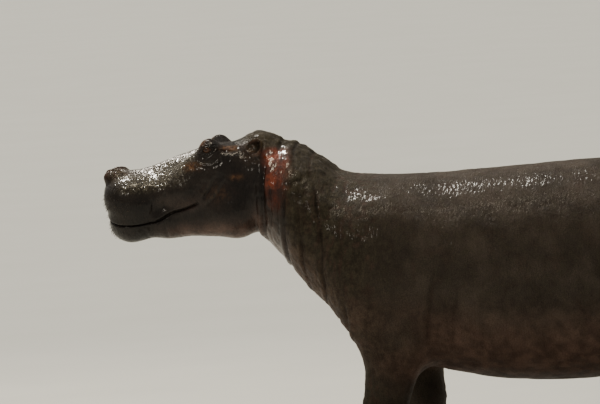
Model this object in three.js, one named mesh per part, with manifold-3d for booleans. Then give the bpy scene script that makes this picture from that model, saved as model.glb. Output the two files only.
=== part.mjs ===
// A hippopotamus standing at life size, as a still museum model. Millimetres, +Z up.
// The animal faces -Y, +X is its left side, and the flat soles of its feet stand at z = 0.
//
// Its flesh is one smooth field, negative inside, made of rounded forms melted together.
// Rays cast from a line inside each limb and inside the body find the surface, and thin flat
// cuts then part the whole into head, jaw, neck, trunk, legs and tail.
// Places are written [x, back, z], where back is the distance behind the tip of the nose.
import * as THREE from 'three';
import { mergeVertices } from 'three/addons/utils/BufferGeometryUtils.js';
import Module from 'manifold-3d';

const wasm = await Module();
wasm.setup();

// ---------------------------------------------------------------- driving dimensions
const GAP = 0.4; // width of the cuts between neighbouring pieces
const STRIDE = 60; // how far each foot stands ahead of or behind its pair's middle

const MUZZLE_MIDDLE = [0, 118, 1325];
const EYE = [200, 556, 1561]; // middle of the left eyeball
const EYE_RADIUS = 25;
const EYE_OPENING = [20, 22, 13]; // half sizes of the gap between the lids
const NOSTRIL = [88, 66, 1482];
const NOSTRIL_SIZE = [11, 27, 20];
const EAR_ROOT = [168, 738, 1545];
const EAR_TIP = [246, 838, 1580];
const EAR_CUP = [40, 58, 25]; // half its width, length and depth
const EAR_OPENS = [0.75, -0.6, 0.25];

// The left legs: the middle of the foot, its size, the cut that parts the leg from the trunk, and
// the path of its joints down to the ankle, which is given as behind the foot and up.
const FORE = {
  x: 290,
  back: 1400,
  size: 1,
  cut: [[290, 1400, 560], [-0.42, 0, 0.91]],
  hip: [300, 1375, 830],
  knee: [305, 1425, 590],
  ankle: [15, 275],
  top: 760,
};
const HIND = {
  x: 285,
  back: 2850,
  size: 0.94,
  cut: [[290, 2850, 490], [-0.37, 0, 0.93]],
  hip: [300, 2840, 850],
  knee: [312, 2790, 620],
  ankle: [60, 345],
  top: 800,
};
// The tail's middle line from inside the rump to its tip.
const TAIL = [[0, 3210, 1150], [0, 3340, 1085], [0, 3390, 930], [0, 3368, 760]];
const TAIL_CUT = [[0, 3340, 1080], [0, 0.6, -0.8]];

const NECK_FRONT = [[0, 835, 1350], [0, 1, 0]]; // a point and the way back, square to each cut
const NECK_REAR = [[0, 1380, 0], [0, 1, 0.28]];
const MOUTH = [[0, 0, 1252], [0, -0.13, 1]];
const JAW_REAR = [[0, 640, 1250], [0, 1, 0.35]];

// How far back each ring of the head and of the neck and trunk lies.
const HEAD_STATIONS = [
  118, 145, 175, 210, 250, 300, 350, 400, 445, 478, 498, 520, 548, 580, 612, 645, 690, 740, 790,
  860,
];
const TRUNK_STATIONS = [
  790, 850, 910, 970, 1035, 1105, 1185, 1280, 1400, 1550, 1720, 1900, 2080, 2260, 2440, 2600,
];
// Middle and half sizes of the mounds round the left eye and under the left nostril.
const BROW = [[168, 561, 1554], [57, 55, 61]];
const NOSTRIL_MOUND = [[86, 71, 1446], [47, 51, 37]];

// Neck and trunk from behind the ears to the rump: [back, top, bottom, half width].
const TORSO = [
  [700, 1600, 1180, 205],
  [777, 1623, 1120, 252],
  [884, 1578, 1005, 325],
  [956, 1568, 912, 372],
  [1028, 1523, 824, 412],
  [1100, 1474, 745, 440],
  [1168, 1419, 680, 462],
  [1300, 1394, 580, 495],
  [1500, 1384, 475, 526],
  [1800, 1390, 395, 553],
  [2150, 1404, 355, 566],
  [2450, 1410, 365, 558],
  [2750, 1396, 430, 532],
  [3050, 1345, 530, 496],
  [3350, 1290, 580, 450],
];

// ---------------------------------------------------------------- smooth forms
const mix = (a, b, t) => a + (b - a) * t;

// Smooth union: the two surfaces melt together over a width of about k.
function melt(a, b, k) {
  const h = Math.max(k - Math.abs(a - b), 0) / k;
  return Math.min(a, b) - (h * h * k) / 4;
}

// Smooth intersection.
const trim = (a, b, k) => -melt(-a, -b, k);

function ellipsoid([x, y, z], [cx, cy, cz], [rx, ry, rz]) {
  const px = (x - cx) / rx, py = (y - cy) / ry, pz = (z - cz) / rz;
  const k0 = Math.hypot(px, py, pz);
  const k1 = Math.hypot(px / rx, py / ry, pz / rz);
  return k1 === 0 ? -Math.min(rx, ry, rz) : (k0 * (k0 - 1)) / k1;
}

// A limb between points a and b, whose radius goes from ra to rb. flat squeezes it sideways.
function limb([x, y, z], a, b, ra, rb, flat = 1) {
  const ax = (b[0] - a[0]) / flat, ay = b[1] - a[1], az = b[2] - a[2];
  const px = (x - a[0]) / flat, py = y - a[1], pz = z - a[2];
  const t = THREE.MathUtils.clamp((px * ax + py * ay + pz * az) / (ax * ax + ay * ay + az * az), 0, 1);
  return (Math.hypot(px - ax * t, py - ay * t, pz - az * t) - mix(ra, rb, t)) * Math.min(flat, 1);
}

// Smooth curve through a table's rows: the values at a given distance back.
function along(table, back) {
  const last = table.length - 2;
  let i = table.findIndex((row, n) => n > 0 && back < row[0]) - 1;
  if (i < 0) i = back < table[0][0] ? 0 : last;
  const p = table[Math.max(i - 1, 0)], a = table[i], b = table[i + 1];
  const q = table[Math.min(i + 2, last + 1)];
  const t = THREE.MathUtils.clamp((back - a[0]) / (b[0] - a[0]), 0, 1);
  return a.slice(1).map((v, j) => {
    const m0 = ((b[j + 1] - p[j + 1]) / (b[0] - p[0])) * (b[0] - a[0]);
    const m1 = ((q[j + 1] - v) / (q[0] - a[0])) * (b[0] - a[0]);
    const c = b[j + 1] - v;
    return v + t * (m0 + t * (3 * c - 2 * m0 - m1 + t * (m0 + m1 - 2 * c)));
  });
}

// ---------------------------------------------------------------- flesh
function torso(p) {
  const ax = Math.abs(p[0]);
  const [top, bottom, half] = along(TORSO, p[1]);
  const widest = mix(bottom, top, 0.46);
  const reach = p[2] > widest ? top - widest : widest - bottom;
  const power = 2.15;
  const q = ((ax / half) ** power + (Math.abs(p[2] - widest) / reach) ** power) ** (1 / power);
  let d = (q - 1) * Math.min(half, reach);
  const rump = THREE.MathUtils.smoothstep(p[1], 2150, 2750);
  if (rump > 0) d = trim(d, ellipsoid(p, [0, 2480, 930], [760, 860, 620]), 160 * rump);
  d = trim(d, 730 - p[1], 90);
  const side = [ax, p[1], p[2]];
  d = melt(d, ellipsoid(side, [330, 1400, 930], [150, 235, 330]), 140); // shoulder
  d = melt(d, ellipsoid(side, [300, 2830, 880], [225, 300, 400]), 160); // thigh
  return melt(d, ellipsoid(side, [90, 3150, 1010], [120, 130, 210]), 120); // seat
}

function head(p) {
  const side = [Math.abs(p[0]), p[1], p[2]];
  const middle = [
    [[0, 655, 1480], [174, 185, 105]], // cranium
    [[0, 782, 1503], [185, 122, 112]], // nape
    [[0, 540, 1395], [160, 270, 148]], // face
    [[0, 112, 1362], [186, 104, 94]], // muzzle
    [[0, 122, 1220], [150, 97, 85]], // chin
    [[0, 410, 1245], [118, 330, 90]], // floor of the mouth
  ];
  let d = Infinity;
  for (const [c, r] of middle) d = melt(d, ellipsoid(side, c, r), 60);
  d = melt(d, limb(side, [0, 130, 1374], [0, 560, 1446], 84, 114, 1.3), 60); // bridge of the snout
  d = melt(d, ellipsoid(side, [143, 148, 1334], [97, 116, 102]), 55); // bulb over the tusk
  d = melt(d, ellipsoid(side, [154, 180, 1276], [74, 96, 68]), 50); // hanging upper lip
  d = melt(d, limb(side, [116, 190, 1342], [138, 470, 1368], 74, 80), 70); // side of the snout
  d = melt(d, ellipsoid(side, ...NOSTRIL_MOUND), 34);
  d = melt(d, ellipsoid(side, [112, 146, 1222], [72, 88, 80]), 50); // lower lip
  d = melt(d, limb(side, [108, 160, 1218], [106, 335, 1226], 72, 74), 60); // front of the jaw bone
  d = melt(d, limb(side, [106, 335, 1226], [152, 655, 1240], 74, 110), 60); // its rear
  d = melt(d, ellipsoid(side, [156, 700, 1318], [96, 128, 168]), 70); // jowl
  d = melt(d, ellipsoid(side, [146, 520, 1362], [82, 165, 104]), 70); // cheek
  d = melt(d, ellipsoid(side, [158, 600, 1476], [74, 165, 90]), 70); // cheek bone
  return melt(d, ellipsoid(side, ...BROW), 32);
}

// The left legs with their feet. step moves the foot along.
function foreleg(p, { x, back, size, hip, knee, ankle }, step) {
  const foot = back + step;
  const low = [x, foot + ankle[0], ankle[1]];
  let d = limb(p, hip, knee, 175, 158);
  d = melt(d, limb(p, knee, low, 152, 104), 60);
  d = melt(d, limb(p, low, [x, foot, 120], 102, 104), 40);
  return melt(d, footForm(p, x, foot, size), 40);
}

function hindleg(p, { x, back, size, hip, knee, ankle }, step) {
  const foot = back + step;
  const low = [x, foot + ankle[0], ankle[1]];
  let d = limb(p, hip, knee, 235, 180);
  d = melt(d, limb(p, knee, low, 172, 104), 70);
  d = melt(d, limb(p, low, [x, foot + 10, 130], 98, 92), 40);
  return melt(d, footForm(p, x, foot, size), 40);
}

const TOES = [-62, -22, 20, 58]; // degrees from straight ahead, from the outer toe to the inner

const TOE_SIZE = [40, 55, 56];
// The nails are the front of flattened balls in the toes: their middle, ahead and up, half sizes,
// and how far ahead of the toe's middle they end at the rear.
const NAIL_MIDDLE = [27, -6];
const NAIL_SIZE = [31, 31, 34];
const NAIL_REAR = 29;
const NAIL_CLEAR = 3; // how high above the floor they end

// Where each toe of a foot points and sits, in the plane of the floor.
function toePlaces(fx, foot, size) {
  return TOES.map((degrees) => {
    const a = THREE.MathUtils.degToRad(degrees);
    return { at: [fx - Math.sin(a) * 94 * size, foot - Math.cos(a) * 99 * size, 34 * size], turn: a };
  });
}

function footForm(q, fx, foot, size) {
  let d = ellipsoid(q, [fx, foot + 12, 70 * size], [106 * size, 116 * size, 92 * size]);
  for (const toe of toePlaces(fx, foot, size)) {
    const local = toLocal(q, toe);
    d = melt(d, ellipsoid(local, [0, 0, 0], TOE_SIZE.map((r) => r * size)), 9);
  }
  return d;
}

// A point seen from a toe: first across it, then behind it, then up. And back again.
function toLocal(q, { at, turn }) {
  const x = q[0] - at[0], y = q[1] - at[1];
  const [c, s] = [Math.cos(turn), Math.sin(turn)];
  return [x * c - y * s, x * s + y * c, q[2] - at[2]];
}

function fromLocal([x, y, z], { at, turn }) {
  const [c, s] = [Math.cos(turn), Math.sin(turn)];
  return [at[0] + x * c + y * s, at[1] - x * s + y * c, at[2] + z];
}

function tail(p) {
  let d = limb(p, TAIL[0], TAIL[1], 74, 52, 0.9);
  d = melt(d, limb(p, TAIL[1], TAIL[2], 50, 36, 0.8), 30);
  return melt(d, limb(p, TAIL[2], TAIL[3], 38, 22, 0.5), 20);
}

const flesh = (p) => melt(head(p), torso(p), 60);

// ---------------------------------------------------------------- surface by rays
// Distance from a start point, along a unit direction, to where the field leaves the flesh.
function reachOf(field, [x, y, z], [dx, dy, dz], limit) {
  const at = (t) => field([x + dx * t, y + dy * t, z + dz * t]);
  const stride = limit / 60;
  let inside = 0, outside = limit;
  for (let t = stride; t <= limit; t += stride) {
    if (at(t) > 0) {
      outside = t;
      break;
    }
    inside = t;
  }
  if (inside >= limit - stride / 2) return limit;
  for (let n = 0; n < 20; n++) {
    const middle = (inside + outside) / 2;
    if (at(middle) > 0) outside = middle;
    else inside = middle;
  }
  return (inside + outside) / 2;
}

// Turns round a ring, crowded near the turn `towards` when crowd is above 0 (up to 1).
function turnsOf(count, crowd = 0, towards = 0) {
  return Array.from({ length: count }, (_, i) => {
    const t = (i / count) * 2 * Math.PI;
    return towards + t - crowd * Math.sin(t);
  });
}

// A closed mesh wrapped round a line of centres. Each ring is {centre, axis, up, open, limit}:
// its rays leave the centre at the angle open from the axis, which is 90 degrees along a body.
function wrap(field, rings, turns, poles) {
  const spokes = turns.length;
  const positions = [];
  const index = [];
  for (const { centre, axis, up, open, limit } of rings) {
    const n = new THREE.Vector3(...axis).normalize();
    const u = new THREE.Vector3(...up);
    u.addScaledVector(n, -n.dot(u)).normalize();
    const v = new THREE.Vector3().crossVectors(n, u);
    for (const turn of turns) {
      const ray = new THREE.Vector3()
        .addScaledVector(u, Math.cos(turn) * Math.sin(open))
        .addScaledVector(v, Math.sin(turn) * Math.sin(open))
        .addScaledVector(n, Math.cos(open));
      const r = reachOf(field, centre, ray.toArray(), limit);
      positions.push(centre[0] + ray.x * r, centre[1] + ray.y * r, centre[2] + ray.z * r);
    }
  }
  const span = (a, b) => {
    return Math.hypot(...[0, 1, 2].map((j) => positions[a * 3 + j] - positions[b * 3 + j]));
  };
  for (let k = 0; k + 1 < rings.length; k++) {
    for (let i = 0; i < spokes; i++) {
      const a = k * spokes + i, b = k * spokes + ((i + 1) % spokes);
      const c = a + spokes, d = b + spokes;
      index.push(...(span(a, d) < span(b, c) ? [a, b, d, a, d, c] : [a, b, c, b, d, c]));
    }
  }
  for (const [k, ring, flip] of [[0, 0, false], [1, rings.length - 1, true]]) {
    const pole = positions.length / 3;
    positions.push(...poles[k]);
    for (let i = 0; i < spokes; i++) {
      const a = ring * spokes + i, b = ring * spokes + ((i + 1) % spokes);
      index.push(...(flip ? [pole, a, b] : [pole, b, a]));
    }
  }
  const geometry = new THREE.BufferGeometry();
  geometry.setAttribute('position', new THREE.Float32BufferAttribute(positions, 3));
  geometry.setIndex(index);
  return solid(geometry);
}

// ---------------------------------------------------------------- solids
// A closed geometry as a manifold solid, in [x, back, z].
function solid(geometry) {
  const bare = geometry.clone();
  for (const name of Object.keys(bare.attributes)) if (name !== 'position') bare.deleteAttribute(name);
  const merged = mergeVertices(bare, 1e-3);
  const make = (triVerts) => new wasm.Manifold(
    new wasm.Mesh({ numProp: 3, vertProperties: merged.attributes.position.array, triVerts }),
  );
  const made = make(new Uint32Array(merged.index.array));
  return made.volume() > 0 ? made : make(new Uint32Array(merged.index.array).reverse());
}

// A ball stretched to three radii, turned by a matrix of axes when one is given.
function ball(centre, radii, [across, down], axes = new THREE.Matrix4()) {
  const geometry = new THREE.SphereGeometry(1, across, down).scale(...radii);
  return solid(geometry.applyMatrix4(axes).translate(...centre));
}

// Everything on the side of a plane that its normal points to, out to the size of the animal.
function beyond(point, normal) {
  const size = 9000;
  const box = new THREE.BoxGeometry(size, size, size).translate(0, 0, size / 2);
  const n = new THREE.Vector3(...normal).normalize();
  box.applyQuaternion(new THREE.Quaternion().setFromUnitVectors(new THREE.Vector3(0, 0, 1), n));
  return solid(box.translate(...point));
}

function boxBetween([x0, y0, z0], [x1, y1, z1]) {
  const box = new THREE.BoxGeometry(x1 - x0, y1 - y0, z1 - z0);
  return solid(box.translate((x0 + x1) / 2, (y0 + y1) / 2, (z0 + z1) / 2));
}

const shifted = ([x, y, z], [nx, ny, nz], by) => [x + nx * by, y + ny * by, z + nz * by];
const unit = (v) => new THREE.Vector3(...v).normalize().toArray();
const mirrored = (made) => made.mirror([1, 0, 0]);

const FORWARD = [0, -1, 0];
const UP = [0, 0, 1];
const DOWN = [0, 0, -1];

// The head, out past its joint with the neck: a fan of rays over the muzzle, then upright rings.
function headSolid() {
  const [x, back, z] = MUZZLE_MIDDLE;
  const rings = [];
  for (let degrees = 15; degrees < 89; degrees += 15) {
    const open = THREE.MathUtils.degToRad(degrees);
    rings.push({ centre: MUZZLE_MIDDLE, axis: FORWARD, up: UP, open, limit: 400 });
  }
  for (const station of HEAD_STATIONS) {
    const level = mix(z, 1395, THREE.MathUtils.smoothstep(station, back, 520));
    rings.push({ centre: [x, station, level], axis: FORWARD, up: UP, open: Math.PI / 2, limit: 700 });
  }
  const front = back - reachOf(flesh, MUZZLE_MIDDLE, FORWARD, 400);
  const end = rings.at(-1).centre;
  return wrap(flesh, rings, turnsOf(30, 0.2), [[x, front, z], end]);
}

// Neck and trunk, from inside the head to the rump.
function trunkSolid() {
  const line = curveThrough([
    [0, 790, 1370],
    [0, 1000, 1240],
    [0, 1300, 1030],
    [0, 1700, 930],
    [0, 2300, 910],
    [0, 2760, 930],
  ]);
  const rings = TRUNK_STATIONS.map((back) => {
    return { centre: crossing(line, 'y', back), axis: FORWARD, up: UP, open: Math.PI / 2, limit: 900 };
  });
  const rump = line.getPoint(1).toArray();
  for (let degrees = 90; degrees < 170; degrees += 15) {
    const open = THREE.MathUtils.degToRad(degrees);
    rings.push({ centre: rump, axis: FORWARD, up: UP, open, limit: 900 });
  }
  const rear = rump[1] + reachOf(flesh, rump, [0, 1, 0], 900);
  return wrap(flesh, rings, turnsOf(24), [rings[0].centre, [0, rear, rump[2]]]);
}

const curveThrough = (points) => new THREE.CatmullRomCurve3(points.map((p) => new THREE.Vector3(...p)));

// Where a curve passes a given back or height, found by halving.
function crossing(curve, axis, value) {
  const rising = curve.getPoint(1)[axis] > curve.getPoint(0)[axis];
  let low = 0, high = 1;
  for (let n = 0; n < 30; n++) {
    const middle = (low + high) / 2;
    if (curve.getPoint(middle)[axis] < value === rising) low = middle;
    else high = middle;
  }
  return curve.getPoint(low).toArray();
}

// A leg and its foot, wrapped from inside the trunk to below the floor. The trunk's surface is
// drawn in near the leg's top, so that the two meet in a shallow crease.
function legSolid({ hip, knee, ankle, sole, top }, leg) {
  const field = (p) => {
    const drawn = 45 * THREE.MathUtils.smoothstep(p[2], top - 210, top);
    return melt(leg(p), torso(p) + drawn, 130 - drawn);
  };
  const line = curveThrough([hip, knee, ankle, sole]);
  const ringAt = (z) => {
    const limit = z > 420 ? mix(190, 300, Math.min((z - 420) / 300, 1)) : 240;
    const centre = crossing(line, 'z', z);
    return { centre, axis: DOWN, up: FORWARD, open: Math.PI / 2, limit };
  };
  const levels = [];
  for (let z = top; z > 230; z -= 95) levels.push(z);
  levels.push(185, 150, 118, 84, 48, 16, -16);
  const rings = levels.map(ringAt);
  const [first, last] = [rings[0].centre, rings.at(-1).centre];
  const poles = [[first[0], first[1], top + 20], [last[0], last[1], -24]];
  return wrap(field, rings, turnsOf(18, 0.35), poles);
}

function tailSolid(more) {
  const line = curveThrough(TAIL);
  const steps = 8;
  const rings = Array.from({ length: steps + 1 }, (_, i) => {
    const [centre, axis] = [line.getPoint(i / steps).toArray(), line.getTangent(i / steps).toArray()];
    return { centre, axis, up: [0, 1, 0.2], open: Math.PI / 2, limit: 120 };
  });
  const tip = shifted(line.getPoint(1).toArray(), line.getTangent(1).toArray(), 20 + more);
  return wrap((p) => tail(p) - more, rings, turnsOf(12), [line.getPoint(0).toArray(), tip]);
}

// The left ear: a thin rounded cup on a short stalk, cut flat where it joins the head.
function earSolids() {
  const along = unit(EAR_TIP.map((v, i) => v - EAR_ROOT[i]));
  const axis = new THREE.Vector3(...along);
  const open = new THREE.Vector3(...EAR_OPENS);
  open.addScaledVector(axis, -axis.dot(open)).normalize();
  const wide = new THREE.Vector3().crossVectors(axis, open);
  const axes = new THREE.Matrix4().makeBasis(wide, axis, open);
  const [halfWide, halfLong, halfDeep] = EAR_CUP;
  const middle = shifted(EAR_ROOT, along, halfLong + 8);
  const outer = (more) => {
    const cup = ball(middle, EAR_CUP.map((r) => r + more), [10, 6], axes);
    return cup.add(ball(EAR_ROOT, [27, 44, 25].map((r) => r + more), [8, 6], axes));
  };
  const hollow = shifted(middle, open.toArray(), 15);
  const inner = ball(hollow, [halfWide - 8, halfLong - 9, halfDeep + 3], [9, 5], axes);
  const cut = shifted(EAR_ROOT, along, 12);
  const beyondCut = (gap) => beyond(shifted(cut, along, gap), along);
  return {
    ear: outer(0).subtract(inner).intersect(beyondCut(GAP / 2)),
    stub: outer(0).subtract(inner).subtract(beyondCut(-GAP / 2)),
    space: outer(GAP * 2).intersect(beyondCut(-GAP / 2)),
  };
}

// The four nails of a foot, each a rounded plate let into the front of its toe, and its slot.
function nailSolids(x, foot, size) {
  return toePlaces(x, foot, size).map((toe) => {
    const axes = new THREE.Matrix4().makeRotationZ(-toe.turn);
    const ahead = [-Math.sin(toe.turn), -Math.cos(toe.turn), 0];
    const [before, up] = NAIL_MIDDLE;
    const plate = (more) => {
      const middle = fromLocal([0, -before * size, up * size], toe);
      const round = ball(middle, NAIL_SIZE.map((r) => r * size + more), [6, 4], axes);
      const rear = fromLocal([0, -NAIL_REAR * size + more, 0], toe);
      return round.intersect(beyond(rear, ahead)).intersect(beyond([0, 0, NAIL_CLEAR - more], UP));
    };
    return { nail: plate(0), slot: plate(GAP) };
  });
}

// ---------------------------------------------------------------- pieces
const hippopotamus = new THREE.Group();
const pieces = [];
const add = (name, made, [color, roughness]) => {
  pieces.push({ name, made: largest(made), color, roughness });
};

const HIDE = [0x4a3b38, 0.45];
const BELLY = [0x6b4f4a, 0.5];
const NAIL = [0x2b2522, 0.4];
const BALL = [0x1a0f0a, 0.1]; // the eyes
const near = ([point, normal], gap) => beyond(shifted(point, unit(normal), gap), normal);
const both = (left) => left.add(mirrored(left));

// The largest body of a cut solid, without the slivers a cut can leave.
const largest = (made) => made.decompose().reduce((a, b) => (a.volume() > b.volume() ? a : b));

// Head: sockets for the eyes, nostrils, the closed mouth, and the stalks of the ears.
const { ear, stub, space } = earSolids();
const eye = ball(EYE, [EYE_RADIUS, EYE_RADIUS, EYE_RADIUS], [12, 8]);
const socket = ball(EYE, Array(3).fill(EYE_RADIUS + GAP), [12, 8]);
const lids = ball([EYE[0] + 26, EYE[1], EYE[2]], EYE_OPENING, [8, 5]);
const nostril = ball(NOSTRIL, NOSTRIL_SIZE, [8, 5]);
const skull = headSolid()
  .add(both(stub))
  .subtract(both(space))
  .subtract(both(socket))
  .subtract(both(lids))
  .subtract(both(nostril))
  .subtract(near(NECK_FRONT, -GAP / 2));
const jawSpace = (gap) => {
  return beyond([0, 0, -900], UP).subtract(near(MOUTH, gap)).subtract(near(JAW_REAR, gap));
};
add('head', skull.subtract(jawSpace(0)), HIDE);
add('lower_jaw', skull.intersect(jawSpace(-GAP)), HIDE);
add('ear_left', ear, HIDE);
add('ear_right', mirrored(ear), HIDE);
add('eye_left', eye, BALL);
add('eye_right', mirrored(eye), BALL);

// Legs and feet. The right ones are mirrored left ones that have taken the other step.
let trunk = trunkSolid();
const legSpace = ({ x, back, cut }, step, gap) => {
  const [front, rear] = [back + step - 230 + gap, back + step + 230 - gap];
  return boxBetween([x - 180 + gap, front, -100], [x + 260 - gap, rear, 900]).subtract(near(cut, -gap));
};
const sides = [['left', (made) => made], ['right', mirrored]];
const pairs = [['fore', FORE, foreleg, -STRIDE], ['hind', HIND, hindleg, STRIDE]];
for (const [pair, place, form, first] of pairs) {
  for (const [side, turned] of sides) {
    const step = side === 'left' ? first : -first;
    const foot = place.back + step;
    const ankle = [place.x, foot + place.ankle[0], place.ankle[1]];
    const path = { hip: place.hip, knee: place.knee, ankle, top: place.top };
    const made = legSolid({ ...path, sole: [place.x, foot, -30] }, (p) => form(p, place, step));
    const nails = nailSolids(place.x, foot, place.size);
    const space = legSpace(place, step, 0);
    trunk = trunk.add(turned(made.subtract(space))).subtract(turned(space));
    const leg = made.intersect(legSpace(place, step, GAP)).intersect(beyond([0, 0, 0], UP));
    add(`${pair}leg_${side}`, turned(nails.reduce((rest, { slot }) => rest.subtract(slot), leg)), HIDE);
    nails.forEach(({ nail }, n) => add(`nail_${pair}_${side}_${n + 1}`, turned(nail), NAIL));
  }
}

// Neck, trunk and tail.
trunk = trunk.subtract(tailSolid(GAP * 2).intersect(near(TAIL_CUT, -GAP / 2)));
const neck = trunk.intersect(near(NECK_FRONT, GAP / 2)).subtract(near(NECK_REAR, -GAP / 2));
add('neck', neck, HIDE);
add('trunk', trunk.intersect(near(NECK_REAR, GAP / 2)), BELLY);
add('tail', tailSolid(0).intersect(near(TAIL_CUT, GAP / 2)), HIDE);

// ---------------------------------------------------------------- hand over
const reach = pieces.map(({ made }) => made.boundingBox());
const middle = (Math.min(...reach.map((b) => b.min[1])) + Math.max(...reach.map((b) => b.max[1]))) / 2;

for (const { name, made, color, roughness } of pieces) {
  const { numVert, numProp, vertProperties, triVerts } = made.translate([0, -middle, 0]).getMesh();
  const positions = new Float32Array(numVert * 3);
  for (let i = 0; i < numVert; i++) {
    positions.set(vertProperties.subarray(i * numProp, i * numProp + 3), i * 3);
  }
  const geometry = new THREE.BufferGeometry();
  geometry.setAttribute('position', new THREE.BufferAttribute(positions, 3));
  geometry.setIndex(new THREE.BufferAttribute(triVerts, 1));
  geometry.computeVertexNormals();
  const finish = new THREE.MeshStandardMaterial({ color, roughness, metalness: 0 });
  const piece = new THREE.Mesh(geometry, finish);
  piece.name = name;
  hippopotamus.add(piece);
}

export default hippopotamus;
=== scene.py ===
"""A standing hippopotamus: one continuous skin over the solids, with eyes, toenails and bristles.

The skin's surface is the same smooth field of melted forms as the solids', found on a grid that is
fine at the head, and then folded and wrinkled. Places are (x, back, z) in metres, where back is the
distance behind the tip of the nose, until they go into the row's frame.
"""
import math

import bmesh
import bpy
import numpy as np
import openvdb
from mathutils import Matrix, Vector


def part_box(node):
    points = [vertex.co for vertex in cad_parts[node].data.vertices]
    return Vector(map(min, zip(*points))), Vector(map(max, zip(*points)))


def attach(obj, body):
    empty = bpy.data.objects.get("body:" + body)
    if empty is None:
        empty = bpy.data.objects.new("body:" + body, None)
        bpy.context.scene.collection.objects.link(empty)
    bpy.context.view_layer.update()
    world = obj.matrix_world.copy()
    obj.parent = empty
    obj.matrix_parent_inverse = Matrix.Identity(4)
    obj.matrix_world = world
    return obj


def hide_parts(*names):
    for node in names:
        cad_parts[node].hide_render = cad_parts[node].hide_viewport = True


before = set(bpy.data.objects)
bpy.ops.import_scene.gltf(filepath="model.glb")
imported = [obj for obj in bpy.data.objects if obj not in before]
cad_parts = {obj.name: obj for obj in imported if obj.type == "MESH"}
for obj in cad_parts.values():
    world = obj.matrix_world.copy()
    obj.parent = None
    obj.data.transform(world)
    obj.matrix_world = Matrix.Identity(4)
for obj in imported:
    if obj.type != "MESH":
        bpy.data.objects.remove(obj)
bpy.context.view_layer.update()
SOLIDS = sorted(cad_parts)

# ---------- driving dimensions
EYE = np.array([0.200, 0.556, 1.561])
EYE_RADIUS = 0.025
PUPIL = (0.30, 0.13)  # half of its width and height, in radii of the eye
LID_GAP = (0.023, 0.0125)  # half of the opening's length and height
LID_SLANT = 0.16
NOSTRIL = np.array([0.088, 0.066, 1.482])
NOSTRIL_SIZE = (0.0085, 0.026)  # half of the slit's width and length
NOSTRIL_TURN = math.radians(24)
EAR_ROOT = np.array([0.168, 0.738, 1.545])
EAR_TIP = np.array([0.246, 0.838, 1.580])
EAR_MIDDLE = (EAR_ROOT + EAR_TIP) / 2
EAR_CUP = np.array([0.040, 0.058, 0.025])
EAR_OPENS = np.array([0.75, -0.6, 0.25])
STRIDE = 0.060  # how far each foot stands before or behind its pair's middle

# The left feet's x, distance back and size.
FORE = (0.290, 1.400, 1.0)
HIND = (0.285, 2.850, 0.94)

# Neck and trunk from behind the ears to the rump: back, top, bottom, half width.
TORSO = np.array([
    (0.700, 1.600, 1.180, 0.205),
    (0.777, 1.623, 1.120, 0.252),
    (0.884, 1.578, 1.005, 0.325),
    (0.956, 1.568, 0.912, 0.372),
    (1.028, 1.523, 0.824, 0.412),
    (1.100, 1.474, 0.745, 0.440),
    (1.168, 1.419, 0.680, 0.462),
    (1.300, 1.394, 0.580, 0.495),
    (1.500, 1.384, 0.475, 0.526),
    (1.800, 1.390, 0.395, 0.553),
    (2.150, 1.404, 0.355, 0.566),
    (2.450, 1.410, 0.365, 0.558),
    (2.750, 1.396, 0.430, 0.532),
    (3.050, 1.345, 0.530, 0.496),
    (3.350, 1.290, 0.580, 0.450),
])

WIDEST = 0.46  # how far up the torso's height it is widest
ROUNDNESS = 2.15  # the power of its section's curve: 2 is an ellipse, more is squarer

# Forms that melt into the torso: centre, half sizes, width of the melt.
BULGES = [
    ((0.330, 1.400, 0.930), (0.150, 0.235, 0.330), 0.140),  # shoulder
    ((0.300, 2.830, 0.880), (0.225, 0.300, 0.400), 0.160),  # thigh
    ((0.090, 3.150, 1.010), (0.120, 0.130, 0.210), 0.120),  # buttock
]
RUMP = (0, 2.480, 0.930), (0.760, 0.860, 0.620)  # the ball that rounds off the torso's end

# The tail's three lengths: ends, their radii, a squeeze that flattens it, and width of the melt.
TAIL = [
    ((0, 3.210, 1.150), (0, 3.340, 1.085), 0.074, 0.052, 0.9, 0.030),
    ((0, 3.340, 1.085), (0, 3.390, 0.930), 0.050, 0.036, 0.8, 0.030),
    ((0, 3.390, 0.930), (0, 3.368, 0.760), 0.038, 0.022, 0.5, 0.020),
]

eye_low, eye_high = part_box("eye_left")
MIDDLE_BACK = EYE[1] - (eye_low[1] + eye_high[1]) / 2  # how far behind the nose tip y = 0 lies


def row(p):
    """Places (x, back, z) in the row's frame."""
    return np.asarray(p) - (0, MIDDLE_BACK, 0)


# ---------- smooth forms
def melt(a, b, k):
    """Smooth union: two surfaces melt together over a width of about k."""
    h = np.maximum(k - np.abs(a - b), 0) / k
    return np.minimum(a, b) - h * h * k / 4


def trim(a, b, k):
    return -melt(-a, -b, k)


def ellipsoid(p, centre, radii):
    q = (p - np.asarray(centre, p.dtype)) / np.asarray(radii, p.dtype)
    k0 = np.sqrt((q * q).sum(1))
    q /= np.asarray(radii, p.dtype)
    k1 = np.sqrt((q * q).sum(1))
    return np.where(k1 < 1e-5, -min(radii), k0 * (k0 - 1) / np.maximum(k1, 1e-5))


def limb(p, a, b, ra, rb, flat=1.0):
    """A limb from a to b whose radius goes from ra to rb. flat squeezes it sideways."""
    squeeze = np.array([flat, 1, 1], p.dtype)
    a, b = np.asarray(a, p.dtype) / squeeze, np.asarray(b, p.dtype) / squeeze
    q, run = p / squeeze - a, b - a
    t = np.clip(q @ run / (run @ run), 0, 1)
    off = q - t[:, None] * run
    return (np.sqrt((off * off).sum(1)) - (ra + (rb - ra) * t)) * min(flat, 1)


def smooth(v, low, high):
    """0 below low, 1 above high, and smooth between them."""
    t = np.clip((v - low) / (high - low), 0, 1)
    return t * t * (3 - 2 * t)


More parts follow.
